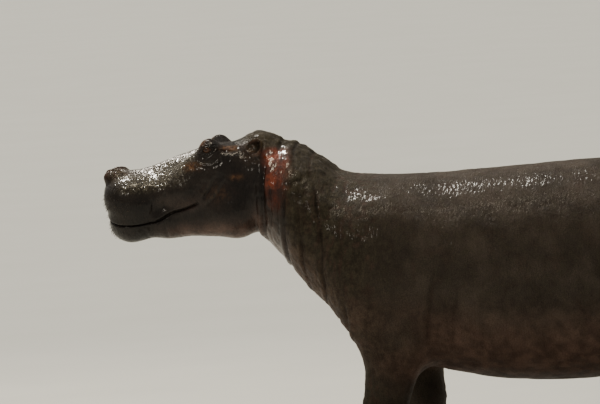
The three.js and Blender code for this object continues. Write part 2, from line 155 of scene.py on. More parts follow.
def band(v, low, high, edge):
    """1 from low to high, fading to 0 over edge outside."""
    return smooth(v, low - edge, low) * (1 - smooth(v, high, high + edge))


def bell(v, middle, width):
    """1 at middle, fading to nothing over about two widths on each side."""
    return np.exp(-((v - middle) / width) ** 2)


def unit(v):
    v = np.asarray(v, float)
    return v / np.linalg.norm(v)


def on_left(p):
    """The same places on the animal's left side."""
    side = p.copy()
    side[:, 0] = np.abs(p[:, 0])
    return side


def along(table, back):
    """Smooth curve through a table's rows: its values at each distance back."""
    x, rows = table[:, 0], table[:, 1:]
    last = len(x) - 2
    i = np.clip(np.searchsorted(x, back, side="right") - 1, 0, last)
    before, after = np.maximum(i - 1, 0), np.minimum(i + 2, last + 1)
    gap = x[i + 1] - x[i]
    t = np.clip((back - x[i]) / gap, 0, 1)[:, None]
    m0 = (rows[i + 1] - rows[before]) / (x[i + 1] - x[before])[:, None] * gap[:, None]
    m1 = (rows[after] - rows[i]) / (x[after] - x[i])[:, None] * gap[:, None]
    c = rows[i + 1] - rows[i]
    return rows[i] + t * (m0 + t * (3 * c - 2 * m0 - m1 + t * (m0 + m1 - 2 * c)))


# ---------- flesh
def empty(p):
    """A field with nothing in it yet."""
    return np.full(len(p), 1, p.dtype)


def melt_in(d, p, forms):
    """Melts balls (centre, half sizes) and limbs into the field in turn, each over its width."""
    for *form, k in forms:
        shape = ellipsoid if len(form) == 2 else limb
        d = melt(d, shape(p, *form), k)
    return d


def torso(p, side):
    top, bottom, half = along(TORSO, p[:, 1]).T.astype(p.dtype)
    widest = bottom + (top - bottom) * WIDEST
    reach = np.where(p[:, 2] > widest, top - widest, widest - bottom)
    q = (side[:, 0] / half) ** ROUNDNESS + (np.abs(p[:, 2] - widest) / reach) ** ROUNDNESS
    d = (q ** (1 / ROUNDNESS) - 1) * np.minimum(half, reach)
    rump = smooth(p[:, 1], 2.150, 2.750)
    capped = trim(d, ellipsoid(p, *RUMP), 0.160 * rump + 1e-6)
    d = np.where(rump > 0, capped, d)
    d = trim(d, 0.730 - p[:, 1], 0.090)
    return melt_in(d, side, BULGES)


# Head forms, in the order in which they melt together: balls (centre, half sizes) and limbs
# (two ends, their radii and a squeeze), each with the width of its melt.
HEAD = [
    ((0, 0.655, 1.480), (0.174, 0.185, 0.105), 0.060),  # cranium
    ((0, 0.782, 1.503), (0.185, 0.122, 0.112), 0.060),  # nape
    ((0, 0.540, 1.395), (0.160, 0.270, 0.148), 0.060),  # face
    ((0, 0.112, 1.362), (0.186, 0.104, 0.094), 0.060),  # muzzle
    ((0, 0.122, 1.220), (0.150, 0.097, 0.085), 0.060),  # chin
    ((0, 0.410, 1.245), (0.118, 0.330, 0.090), 0.060),  # floor of the mouth
    ((0, 0.130, 1.374), (0, 0.560, 1.446), 0.084, 0.114, 1.3, 0.060),  # bridge of the snout
    ((0.143, 0.148, 1.334), (0.097, 0.116, 0.102), 0.055),  # bulb over the tusk
    ((0.154, 0.180, 1.276), (0.074, 0.096, 0.068), 0.050),  # hanging upper lip
    ((0.116, 0.190, 1.342), (0.138, 0.470, 1.368), 0.074, 0.080, 0.070),  # side of the upper jaw
    ((0.086, 0.071, 1.446), (0.047, 0.051, 0.037), 0.034),  # nostril mound
    ((0.112, 0.146, 1.222), (0.072, 0.088, 0.080), 0.050),  # lower lip
    ((0.108, 0.160, 1.218), (0.106, 0.335, 1.226), 0.072, 0.074, 0.060),  # front of the lower jaw
    ((0.106, 0.335, 1.226), (0.152, 0.655, 1.240), 0.074, 0.110, 0.060),  # back of the lower jaw
    ((0.156, 0.700, 1.318), (0.096, 0.128, 0.168), 0.070),  # jowl
    ((0.146, 0.520, 1.362), (0.082, 0.165, 0.104), 0.070),  # cheek
    ((0.158, 0.600, 1.476), (0.074, 0.165, 0.090), 0.070),  # cheek bone
    ((0.168, 0.561, 1.554), (0.057, 0.055, 0.061), 0.032),  # brow over the eye
]


def head(side):
    return melt_in(empty(side), side, HEAD)


EAR_AXIS = unit(EAR_TIP - EAR_ROOT)
EAR_OPEN = unit(EAR_OPENS - EAR_AXIS * (EAR_OPENS @ EAR_AXIS))
EAR_AXES = np.stack([np.cross(EAR_AXIS, EAR_OPEN), EAR_AXIS, EAR_OPEN], 1)


def ear_forms(side):
    """Places seen along the ear's axes (across, along and outward), its ball and its hollow."""
    q = (side - EAR_ROOT.astype(side.dtype)) @ EAR_AXES.astype(side.dtype)
    middle = np.array([0, EAR_CUP[1] + 0.008, 0])
    ball = ellipsoid(q, middle, EAR_CUP)
    hollow = ellipsoid(q, middle + (0, 0.002, 0.015), EAR_CUP + (-0.008, -0.009, 0.003))
    return q, ball, hollow


def ear(side):
    """The ear's cup on its stalk."""
    q, ball, hollow = ear_forms(side)
    stalk = ellipsoid(q, (0, 0, -0.004), (0.027, 0.044, 0.025))
    return melt(trim(ball, -hollow, 0.006), trim(stalk, -hollow, 0.006), 0.010)


FOOT_SIZE = np.array([0.106, 0.116, 0.092])
TOE_SIZE = np.array([0.040, 0.055, 0.056])
TOE_REACH = np.array([-0.094, -0.099, 0.034])  # from the foot's middle: sideways, ahead and up
TOES = [math.radians(a) for a in (-62, -22, 20, 58)]  # from straight ahead, outer toe first


def toe_places(x, foot, size):
    """Where each toe of a left foot sits and points."""
    reaches = [np.array([math.sin(a), math.cos(a), 1]) * TOE_REACH * size for a in TOES]
    return [((x, foot, 0) + reach, a) for reach, a in zip(reaches, TOES)]


def toe_axes(turn):
    """Columns: across the toe, towards its heel, up."""
    c, s = math.cos(turn), math.sin(turn)
    return np.array([[c, s, 0], [-s, c, 0], [0, 0, 1]])


def foot_form(q, x, foot, size):
    d = ellipsoid(q, (x, foot + 0.012, 0.070 * size), FOOT_SIZE * size)
    for at, turn in toe_places(x, foot, size):
        local = (q - at.astype(q.dtype)) @ toe_axes(turn).astype(q.dtype)
        d = melt(d, ellipsoid(local, (0, 0, 0), TOE_SIZE * size), 0.009)
    return d


def leg(q, foot_at, step, top, knee, shin_end, ankle, radii, knee_melt):
    """A left leg: upper part, shin, pastern and foot. The last two ends move with the foot."""
    x, back, size = foot_at
    foot = back + step
    shin_end, ankle = ((x, foot + behind, height) for behind, height in (shin_end, ankle))
    limbs = [
        (top, knee, *radii[:2], 0.060),
        (knee, shin_end, *radii[2:4], knee_melt),
        (shin_end, ankle, *radii[4:], 0.040),
    ]
    return melt(melt_in(empty(q), q, limbs), foot_form(q, x, foot, size), 0.040)


def foreleg(q, step):
    return leg(q, FORE, -step, (0.300, 1.375, 0.830), (0.305, 1.425, 0.590), (0.015, 0.275),
               (0, 0.120), (0.175, 0.158, 0.152, 0.104, 0.102, 0.104), 0.060)


def hindleg(q, step):
    return leg(q, HIND, step, (0.300, 2.840, 0.850), (0.312, 2.790, 0.620), (0.060, 0.345),
               (0.010, 0.130), (0.235, 0.180, 0.172, 0.104, 0.098, 0.092), 0.070)


# Where each leg is worked out: middle and reach of the distance back, and greatest height.
LEG_REGIONS = [(foreleg, 1.400, 0.550, 1.0), (hindleg, 2.850, 0.600, 1.1)]


def tail(p):
    return melt_in(empty(p), p, TAIL)


def put(d, where, form, k, *sources):
    """Melts a form into the field at the points where it matters."""
    if where.any():
        d[where] = melt(d[where], form(*(s[where] for s in sources)), k)


def flesh(p):
    """The whole animal's field: about the distance to its smooth surface, negative inside."""
    side = on_left(p)
    x, back, z = p.T
    d = empty(p)
    # Each form is worked out only where it can reach the surface.
    put(d, back < 1.150, head, 0.060, side)
    put(d, back > 0.620, torso, 0.060, p, side)
    put(d, (side[:, 0] > 0.090) & (back > 0.640) & (back < 0.960) & (z > 1.400), ear, 0.022, side)
    for left, step in ((True, STRIDE), (False, -STRIDE)):
        half = (x >= 0) == left
        for form, middle, reach, top in LEG_REGIONS:
            where = half & (z < top) & (np.abs(back - middle) < reach)
            put(d, where, lambda q: form(q, step), 0.120, side)
    put(d, (back > 3.000) & (z < 1.35), tail, 0.030, p)
    return trim(d, -z, 0.006)


CORNERS = np.array([(1, -1, -1), (-1, -1, 1), (-1, 1, -1), (1, 1, 1)])


def slope(p, h=0.0008):
    """The field and its gradient, from four points round each place."""
    values = [flesh((p + c * h).astype(np.float64)) for c in CORNERS]
    gradient = sum(v[:, None] * c for v, c in zip(values, CORNERS)) / (4 * h)
    return sum(values) / 4, gradient


LEAST_SLOPE = 0.2  # the square of the gradient is taken as no less
MOST_STEP = 0.02


def settle(p, times):
    """Moves points onto the smooth surface."""
    for _ in range(times):
        d, g = slope(p)
        step = d / np.maximum((g * g).sum(1), LEAST_SLOPE)
        p = p - np.clip(step, -MOST_STEP, MOST_STEP)[:, None] * g
    return p


def normals_at(p):
    _, g = slope(p)
    return g / np.maximum(np.linalg.norm(g, axis=1), 1e-9)[:, None]


# ---------- skin mesh
def ticks(start, *spans):
    """Grid lines from start through spans of (end, step)."""
    lines = [np.array([start])]
    for end, step in spans:
        count = max(1, round((end - lines[-1][-1]) / step))
        lines.append(np.linspace(lines[-1][-1], end, count + 1)[1:])
    return np.concatenate(lines)


HALF = ticks(0, (0.280, 0.0102), (0.420, 0.015), (0.612, 0.0235))
GRID = (
    np.concatenate([-HALF[:0:-1], HALF]),
    ticks(-0.036, (0.960, 0.0092), (1.220, 0.0126), (1.640, 0.017), (2.630, 0.028),
          (3.080, 0.017), (3.320, 0.019), (3.470, 0.010)),
    ticks(-0.032, (0.200, 0.0112), (0.700, 0.0178), (1.100, 0.022), (1.700, 0.0097)),
)
BLOCK = 4  # grid steps along one side of a block
FAR = 0.1  # the field's value away from the surface
CHUNK = 400_000  # points worked out at a time


def grid_field():
    """The field at the grid's points, worked out only near the surface."""
    shape = [len(lines) for lines in GRID]
    starts = [np.arange(0, n, BLOCK) for n in shape]
    ends = [np.minimum(s + BLOCK, n - 1) for s, n in zip(starts, shape)]
    middles = [(lines[s] + lines[e]) / 2 for lines, s, e in zip(GRID, starts, ends)]
    halves = [(lines[e] - lines[s]) / 2 for lines, s, e in zip(GRID, starts, ends)]
    places = np.stack(np.meshgrid(*middles, indexing="ij"), -1).reshape(-1, 3).astype(np.float32)
    reach = np.linalg.norm(np.stack(np.meshgrid(*halves, indexing="ij"), -1).reshape(-1, 3), axis=1)
    coarse = flesh(places)
    near = np.abs(coarse) < reach * 1.4 + 0.012  # the field is only about a distance

    def spread(values):
        for axis in range(3):
            values = np.repeat(values, BLOCK, axis=axis)
        return values[:shape[0], :shape[1], :shape[2]]

    blocks = [len(s) for s in starts]
    field = spread((np.where(coarse < 0, -FAR, FAR)).astype(np.float32).reshape(blocks))
    where = np.nonzero(spread(near.reshape(blocks)))
    lines = [axis.astype(np.float32) for axis in GRID]
    for first in range(0, len(where[0]), CHUNK):
        part = tuple(w[first:first + CHUNK] for w in where)
        p = np.stack([axis[w] for axis, w in zip(lines, part)], 1)
        field[part] = np.clip(flesh(p), -FAR, FAR)
    return field


def surface():
    """Points and quads of the field's zero surface."""
    grid = openvdb.FloatGrid(FAR)
    grid.copyFromArray(np.ascontiguousarray(grid_field()))
    points, quads = grid.convertToQuads(0.0)
    places = [np.interp(points[:, a], np.arange(len(GRID[a])), GRID[a]) for a in range(3)]
    return np.stack(places, 1), quads.astype(np.int64)


def edges_of(tris, count):
    """Unique edges, and for each triangle the numbers of its three."""
    pairs = np.sort(np.stack([tris, np.roll(tris, -1, axis=1)], 2).reshape(-1, 2), axis=1)
    keys, inverse = np.unique(pairs[:, 0] * count + pairs[:, 1], return_inverse=True)
    return np.stack([keys // count, keys % count], 1), inverse.reshape(-1, 3)


def refine(p, tris, wanted):
    """Splits each edge that is longer than wanted at its middle, once."""
    edges, which = edges_of(tris, len(p))
    a, b = p[edges[:, 0]], p[edges[:, 1]]
    middle = (a + b) / 2
    split = np.linalg.norm(a - b, axis=1) > wanted(middle)
    index = np.full(len(edges), -1)
    index[split] = len(p) + np.arange(split.sum())
    p = np.concatenate([p, middle[split]])
    halves = index[which]
    count = (halves >= 0).sum(1)
    out = [tris[count == 0]]
    for turn in range(3):
        (a, b, c), (ab, bc, ca) = (np.roll(corners, -turn, axis=1).T for corners in (tris, halves))
        one, two = (count == 1) & (ab >= 0), (count == 2) & (ca < 0)
        short = np.linalg.norm(p[a] - p[bc], axis=1) < np.linalg.norm(p[ab] - p[c], axis=1)
        parts = [
            (one, a, ab, c), (one, ab, b, c), (two, ab, b, bc),
            (two & short, a, ab, bc), (two & short, a, bc, c),
            (two & ~short, a, ab, c), (two & ~short, ab, bc, c),
            (count == 3, a, ab, ca),
        ]
        out += [np.stack(corners, 1)[choice] for choice, *corners in parts]
    out.append(halves[count == 3])
    return p, np.concatenate(out)


def relax(p, tris, times, strength=0.5):
    """Evens out the triangles along the surface."""
    edges, _ = edges_of(tris, len(p))
    number = np.bincount(edges.ravel(), minlength=len(p))[:, None]
    for _ in range(times):
        total = np.zeros_like(p)
        for axis in range(3):
            total[:, axis] = (
                np.bincount(edges[:, 0], p[edges[:, 1], axis], len(p))
                + np.bincount(edges[:, 1], p[edges[:, 0], axis], len(p))
            )
        n = normals_at(p)
        move = total / number - p
        move -= n * (move * n).sum(1)[:, None]
        p = settle(p + move * strength, 1)
    return p


def on_skin(points, count=32):
    """A smooth curve through points, as count places laid on the surface."""
    points = np.array(points, float)
    t = np.concatenate([[0], np.cumsum(np.linalg.norm(np.diff(points, axis=0), axis=1))])
    curve = along(np.column_stack([t, points]), np.linspace(0, t[-1], count))
    return settle(curve, 8)


def beside(p, line, reach, n=None):
    """Each point's distance from a line of places, up to reach, and how far along it lies.

    With normals the distance is signed: positive on the left as the line runs, seen from outside.
    """
    distance, share = np.full(len(p), 1.0), np.zeros(len(p))
    low, high = line.min(0) - reach, line.max(0) + reach
    inside = np.nonzero(((p > low) & (p < high)).all(1))[0]
    q = p[inside]
    best, at, sign = np.full(len(q), 1.0), np.zeros(len(q)), np.ones(len(q))
    for i, (a, b) in enumerate(zip(line[:-1], line[1:])):
        run = b - a
        t = np.clip((q - a) @ run / (run @ run), 0, 1)
        off = q - a - t[:, None] * run
        length = np.linalg.norm(off, axis=1)
        closer = length < best
        best = np.where(closer, length, best)
        at = np.where(closer, (i + t) / (len(line) - 1), at)
        if n is not None:
            left = (np.cross(n[inside], run) * off).sum(1)
            sign = np.where(closer, np.where(left < 0, -1, 1), sign)
    distance[inside], share[inside] = best * sign, at
    return distance, share


MOUTH = on_skin([
    (0.000, 0.020, 1.284),
    (0.050, 0.022, 1.280),
    (0.100, 0.040, 1.262),
    (0.160, 0.080, 1.232),
    (0.215, 0.140, 1.212),
    (0.225, 0.200, 1.207),
    (0.200, 0.275, 1.226),
    (0.180, 0.350, 1.258),
    (0.190, 0.440, 1.296),
    (0.200, 0.515, 1.328),
], 48)

# Creases on the left side, mirrored on the right: places, width, depth, and the height of the
# roll of skin beside it, on the left of the line as it runs where positive.
CREASES = [
    # behind the corner of the mouth and under the eye
    ([(0.20, 0.520, 1.325), (0.22, 0.560, 1.375), (0.22, 0.590, 1.440)], 0.007, 0.008, 0.004),
    ([(0.20, 0.545, 1.290), (0.22, 0.600, 1.345), (0.22, 0.640, 1.420)], 0.007, 0.005, 0.003),
    ([(0.215, 0.515, 1.510), (0.23, 0.560, 1.497), (0.225, 0.612, 1.512)], 0.005, 0.005, 0.002),
    ([(0.20, 0.490, 1.490), (0.23, 0.560, 1.474), (0.225, 0.635, 1.500)], 0.006, 0.003, 0.002),
    ([(0.215, 0.605, 1.560), (0.20, 0.650, 1.552), (0.19, 0.690, 1.535)], 0.005, 0.004, 0.002),
    # middle of the snout and of the upper lip, folds over the lips
    ([(0, 0.020, 1.400), (0, 0.100, 1.450), (0, 0.210, 1.450)], 0.014, 0.006, 0.0),
    ([(0, 0.015, 1.285), (0, 0.005, 1.340), (0, 0.010, 1.400)], 0.008, 0.007, 0.0),
    ([(0.20, 0.262, 1.250), (0.20, 0.272, 1.310), (0.18, 0.290, 1.370)], 0.010, 0.003, 0.002),
    ([(0.19, 0.325, 1.280), (0.19, 0.330, 1.325), (0.18, 0.345, 1.372)], 0.007, 0.004, 0.002),
    ([(0.18, 0.395, 1.305), (0.19, 0.400, 1.345), (0.18, 0.412, 1.385)], 0.007, 0.003, 0.002),
    ([(0.19, 0.220, 1.195), (0.17, 0.225, 1.165), (0.13, 0.230, 1.150)], 0.007, 0.004, 0.002),
    ([(0.19, 0.320, 1.215), (0.18, 0.325, 1.180), (0.14, 0.330, 1.155)], 0.007, 0.003, 0.002),
    # behind the jowl
    ([(0.23, 0.850, 1.550), (0.28, 0.828, 1.480), (0.29, 0.816, 1.400), (0.28, 0.818, 1.310),
      (0.25, 0.826, 1.230), (0.17, 0.838, 1.160), (0.06, 0.845, 1.120)], 0.010, 0.017, -0.010),
    ([(0.30, 0.868, 1.390), (0.30, 0.866, 1.320), (0.28, 0.874, 1.240), (0.24, 0.882, 1.170)],
     0.008, 0.007, -0.004),
    # neck and throat
    ([(0.33, 0.955, 1.400), (0.34, 0.945, 1.330), (0.34, 0.940, 1.250), (0.29, 0.950, 1.120),
      (0.18, 0.965, 1.030), (0.03, 0.970, 0.980)], 0.010, 0.009, -0.005),
    ([(0.36, 1.005, 1.420), (0.39, 1.010, 1.300), (0.38, 1.020, 1.150), (0.31, 1.040, 1.000),
      (0.20, 1.050, 0.900), (0.05, 1.055, 0.850)], 0.010, 0.007, -0.004),
    ([(0.34, 1.090, 1.420), (0.42, 1.105, 1.250), (0.43, 1.120, 1.080), (0.40, 1.130, 0.920),
      (0.30, 1.140, 0.820), (0.16, 1.140, 0.760)], 0.011, 0.009, -0.005),
    ([(0.42, 1.195, 1.300), (0.46, 1.215, 1.120), (0.45, 1.225, 0.960), (0.42, 1.220, 0.820)],
     0.012, 0.006, -0.003),
    ([(0, 0.770, 1.110), (0.10, 0.775, 1.125), (0.19, 0.770, 1.170), (0.23, 0.765, 1.240)],
     0.009, 0.008, -0.004),
    # across the nape
    ([(0, 0.905, 1.590), (0.11, 0.905, 1.580), (0.20, 0.900, 1.550)], 0.009, 0.006, -0.003),
    ([(0, 0.975, 1.570), (0.16, 0.978, 1.540), (0.30, 0.985, 1.450)], 0.010, 0.007, -0.003),
    ([(0, 1.048, 1.520), (0.18, 1.050, 1.480), (0.32, 1.058, 1.390)], 0.010, 0.006, -0.003),
    # behind and before the foreleg
    ([(0.50, 1.690, 1.000), (0.50, 1.650, 0.860), (0.46, 1.620, 0.720), (0.40, 1.590, 0.600),
      (0.30, 1.570, 0.530)], 0.013, 0.014, -0.008),
    ([(0.54, 1.790, 0.880), (0.51, 1.755, 0.740), (0.45, 1.720, 0.620), (0.34, 1.690, 0.520)],
     0.012, 0.008, -0.004),
    ([(0.45, 1.230, 0.900), (0.44, 1.225, 0.780), (0.38, 1.210, 0.680), (0.27, 1.200, 0.620),
      (0.15, 1.190, 0.620)], 0.012, 0.011, 0.006),
    ([(0.40, 1.130, 0.800), (0.34, 1.130, 0.720), (0.22, 1.120, 0.660), (0.08, 1.120, 0.640)],
     0.011, 0.006, 0.003),
    # the flank's fold before the thigh, and behind it
    ([(0.52, 2.430, 1.020), (0.54, 2.460, 0.880), (0.52, 2.510, 0.740), (0.45, 2.560, 0.620),
      (0.33, 2.590, 0.520)], 0.014, 0.015, 0.009),
    ([(0.56, 2.300, 0.900), (0.55, 2.350, 0.760), (0.50, 2.420, 0.620), (0.38, 2.470, 0.500)],
     0.012, 0.008, 0.004),
    ([(0.56, 2.180, 0.760), (0.53, 2.260, 0.620), (0.45, 2.330, 0.500)], 0.012, 0.005, 0.003),
    ([(0.48, 2.980, 0.860), (0.48, 3.010, 0.720), (0.42, 3.000, 0.600)], 0.012, 0.007, 0.004),
    ([(0.06, 3.240, 1.160), (0.13, 3.240, 1.040), (0.13, 3.190, 0.900), (0.10, 3.110, 0.760)],
     0.013, 0.012, 0.006),
    ([(0.05, 3.160, 1.230), (0.13, 3.180, 1.180), (0.20, 3.180, 1.080), (0.20, 3.150, 0.960)],
     0.012, 0.006, 0.003),
]
CREASES = [(on_skin(points), *sizes) for points, *sizes in CREASES]

# Rings of wrinkled skin round the legs: height above the floor, width, depth.
RINGS = [
    (0.168, 0.006, 0.0050),
    (0.205, 0.006, 0.0045),
    (0.248, 0.007, 0.0040),
    (0.300, 0.008, 0.0035),
    (0.372, 0.008, 0.0030),
    (0.470, 0.010, 0.0035),
    (0.560, 0.011, 0.0050),
]


def noise(p, size, seed):
    """Smooth noise from -1 to 1, in lumps about size across."""
    q = p / size + seed * 17.137
    cell = np.floor(q).astype(np.int64)
    t = q - cell
    t = t * t * (3 - 2 * t)
    total = np.zeros(len(p))
    for corner in np.ndindex(2, 2, 2):
        key = (cell + corner) @ np.array([73856093, 19349663, 83492791])
        key = (key ^ (key >> 13)) * 1274126177 & 0xFFFFFFFF
        value = ((key ^ (key >> 16)) & 0xFFFF) / 32767.5 - 1
        total += value * np.where(corner, t, 1 - t).prod(1)
    return total


def swayed(p):
    """Places on the left side, nudged so that the creases of the two sides aren't quite alike."""
    sway = np.stack([noise(p, 0.110, seed) for seed in (1, 2, 3)], 1) * 0.006
    fade = smooth(p[:, 1], 0.600, 1.100)[:, None]
    return on_left(p) + sway * (0.35 + 1.4 * fade)


def lid_place(side):
    """Where a point lies round the eye, in half widths of the opening: along it and up it."""
    q = side - EYE
    c, s = math.cos(LID_SLANT), math.sin(LID_SLANT)
    a = (q[:, 1] * c + q[:, 2] * s) / LID_GAP[0]
    b = (q[:, 2] * c - q[:, 1] * s) / LID_GAP[1]
    return a, b / np.maximum(1 - 0.35 * np.clip(np.abs(a), 0, 1) ** 2, 0.5)


# Where small forms need a fine mesh: middle, reach, longest edge.
FINE_PLACES = [
    (EYE + (0.015, 0, 0), 0.048, 0.0034),
    (NOSTRIL, 0.044, 0.0040),
    (EAR_MIDDLE, 0.085, 0.0060),
]


def wanted_length(p):
    """How long an edge may be at each place."""
    side, nudged = on_left(p), swayed(p)
    length = np.full(len(p), 1.0)

    def near(distance, reach, size):
        nonlocal length
        length = np.where(distance < reach, np.minimum(length, size), length)

    for middle, reach, size in FINE_PLACES:
        near(np.linalg.norm(side - middle, axis=1), reach, size)
    near(beside(side, MOUTH, 0.03)[0], 0.013, 0.0055)
    for line, width, *_ in CREASES:
        near(beside(nudged, line, 0.05)[0], width * 1.8, width * 1.15)
    return length


def make_skin():
    p, quads = surface()
    one, other = (np.linalg.norm(p[quads[:, i]] - p[quads[:, i + 2]], axis=1) for i in (0, 1))
    short = (one < other)[:, None]
    tris = np.concatenate([
        np.where(short, quads[:, [0, 1, 2]], quads[:, [0, 1, 3]]),
        np.where(short, quads[:, [0, 2, 3]], quads[:, [1, 2, 3]]),
    ])
    p = settle(p, 2)
    p = relax(p, tris, 2)
    for _ in range(2):
        p, tris = refine(p, tris, wanted_length)
    return relax(settle(p, 1), tris, 3), tris


# ---------- folds and features
def flushed_side(side):
    """How strongly each place lies on the smooth red side of the neck, behind the jowl."""
    x, back, z = side.T
    slant = back + 0.12 * (z - 1.45)
    rear = slant + 0.018 * noise(side, 0.055, 35)
    upper = (1 - smooth(rear, 0.920, 0.985)) * band(z, 1.380, 1.525, 0.040)
    lower = 0.40 * (1 - smooth(rear, 0.900, 0.955)) * band(z, 1.330, 1.400, 0.120)
    return np.maximum(upper, lower) * smooth(slant, 0.816, 0.840) * smooth(x, 0.090, 0.160)


def lumps(p, *kinds):
    """Smooth lumps of several kinds, each with its height, size and seed."""
    return sum(height * noise(p, size, seed) for height, size, seed in kinds)


def detail(p, n):
    """How far out each point of the skin stands from the smooth surface, and its painted shade."""
    side, nudged = on_left(p), swayed(p)
    outward = n * np.where(p[:, :1] < 0, (-1, 1, 1), 1)
    x, back, z = side.T
    out, painted_shade = np.zeros(len(p)), np.zeros(len(p))

    def paint_shade(strength):
        nonlocal painted_shade
        painted_shade = np.maximum(painted_shade, strength)

    def fold(distance, width, depth, roll, fade):
        """A groove along a line with painted shade in it, and a roll of skin on one side of it."""
        nonlocal out
        groove = bell(distance, 0, width) * fade
        lip = bell(distance * np.sign(roll), 2.1 * width, 1.7 * width) * fade
        out = out - depth * groove + abs(roll) * lip
        paint_shade(groove * min(1, depth / 0.008) * (1 - 0.5 * smooth(back, 1.10, 1.40)))

    def wrinkles(where, stretch, size, seed, depth, width, dark=0, dark_width=1):
        """Thin wrinkles where a noise crosses zero, with painted shade along them."""
        nonlocal out
        line = np.abs(noise(p * stretch, size, seed))
        out = out - where * depth * bell(line, 0, width)
        paint_shade(where * dark * bell(line, 0, dark_width))

    uneven = 0.8 + 0.35 * noise(p, 0.07, 5)
    # Each crease's groove gets painted shade through fold.
    for line, width, depth, roll in CREASES:
        distance, share = beside(nudged, line, 0.09, outward)
        taper = 0.36 if line[:, 1].mean() > 1.15 else 0.16
        fade = smooth(share, 0, taper) * (1 - smooth(share, 1 - taper, 1))
        if abs(line[0, 0]) < 0.03:  # it runs on across the middle
            fade = 1 - smooth(share, 0.80, 1)
        fold(distance, width, depth, roll, fade * uneven)

    # The mouth: the upper lip hangs a little over the lower one.
    distance, share = beside(side, MOUTH, 0.09, outward)
    fade = 1 - smooth(share, 0.93, 1)
    upper_lip = 0.007 * smooth(distance, 0.000, 0.004) * bell(distance, 0, 0.034)
    out += fade * (upper_lip - 0.015 * bell(distance, -0.0015, 0.0055))
    # Painted shade along the slit.
    paint_shade(fade * bell(distance, -0.0015, 0.006))

    # Nostrils: slanting slits with raised rims.
    q = side - NOSTRIL
    c, s = math.cos(NOSTRIL_TURN), math.sin(NOSTRIL_TURN)
    across, length = q[:, 0] * c - q[:, 1] * s, q[:, 0] * s + q[:, 1] * c
    bow = across + 5.0 * length ** 2
    slit = np.sqrt((bow / NOSTRIL_SIZE[0]) ** 2 + (length / NOSTRIL_SIZE[1]) ** 2)
    top = smooth(z, 1.440, 1.455)
    out += top * (0.006 * bell(slit, 1.25, 0.55) - 0.024 * (1 - smooth(slit, 0.35, 1.05)))
    # Painted shade inside the slits.
    paint_shade(top * (1 - smooth(slit, 0.6, 1.1)))

    # Eyes: the lids stand round the ball with two folds above and below.
    a, b = lid_place(side)
    around = np.sqrt(a * a + b * b)
    facing = smooth(x, 0.185, 0.205) * (np.abs(back - EYE[1]) < 0.08)
    rim = 0.0042 * bell(around, 1.22, 0.24) - 0.0016 * bell(around, 1.75, 0.20)
    rim += 0.0022 * bell(around, 2.15, 0.26) - 0.0022 * bell(around, 2.65, 0.20)
    corner = np.exp(-((np.abs(a) - 1.1) / 0.35) ** 2 - (b / 0.5) ** 2)
    out += facing * (rim - 0.003 * corner - 0.020 * (1 - smooth(around, 0.70, 1.04)))
    # Painted shade in the lids' opening and in the fold round them.
    dark = 1 - smooth(around, 0.95, 1.15) + 0.7 * bell(around, 1.75, 0.18)
    paint_shade(facing * np.clip(dark, 0, 1))

    # Rings round the legs, with painted shade in their grooves.
    leg_share = smooth(1.0 - z, 0.35, 0.5)
    uneven = leg_share * (0.55 + 0.45 * noise(p, 0.09, 7))
    for height, width, depth in RINGS:
        level = z - height - 0.014 * noise(p, 0.120, height * 100)
        fold(np.where(leg_share > 0, level, 1), width, depth, 0.4 * depth, uneven)

    # Lumps and wrinkles that run through the hide.
    head_share = 1 - smooth(back, 0.700, 0.860)
    low = smooth(z, 0.060, 0.160)
    out += (1 - head_share) * low * lumps(p, (0.0045, 0.260, 11), (0.0022, 0.090, 12))
    flushed = flushed_side(side)
    nape = band(back, 0.740, 1.130, 0.08) * smooth(z, 1.330, 1.450) * (1 - 0.85 * flushed)
    out += nape * lumps(p, (0.0042, 0.034, 13), (0.0025, 0.017, 14))
    neck = band(back, 0.830, 1.350, 0.08) * (1 - 0.5 * nape) * (1 - 0.8 * flushed)
    # The neck's and body's wrinkles get painted shade along them.
    wrinkles(neck, (0.5, 1, 0.42), 0.026, 15, 0.0028, 0.20, 0.45, 0.16)
    wrinkles(smooth(back, 1.250, 1.450) * low, (0.6, 1, 0.5), 0.060, 16, 0.0018, 0.18, 0.25, 0.14)
    wrinkles(head_share * smooth(back, 0.10, 0.30), (1, 1, 1), 0.022, 17, 0.0010, 0.22)
    return out, painted_shade


# ---------- objects
def add(name, data, matrix=None):
    """Puts new data in the scene as an object."""
    obj = bpy.data.objects.new(name, data)
    if matrix is not None:
        obj.matrix_world = matrix
    bpy.context.scene.collection.objects.link(obj)
    return obj


def new_object(name, p, faces, uv=None):
    """A smooth mesh of triangles or of quads, with its OFBake map where it has one."""
    mesh = bpy.data.meshes.new(name)
    mesh.vertices.add(len(p))
    mesh.vertices.foreach_set("co", row(p).astype(np.float32).ravel())
    corners = faces.shape[1]
    mesh.loops.add(faces.size)
    mesh.loops.foreach_set("vertex_index", faces.astype(np.int32).ravel())
    mesh.polygons.add(len(faces))
    mesh.polygons.foreach_set("loop_start", np.arange(len(faces), dtype=np.int32) * corners)
    mesh.update(calc_edges=True)
    mesh.polygons.foreach_set("use_smooth", np.ones(len(faces), bool))
    if uv is not None:
        layer = mesh.uv_layers.new(name="OFBake")
        layer.data.foreach_set("uv", uv[faces.ravel()].astype(np.float32).ravel())
    return add(name, mesh)


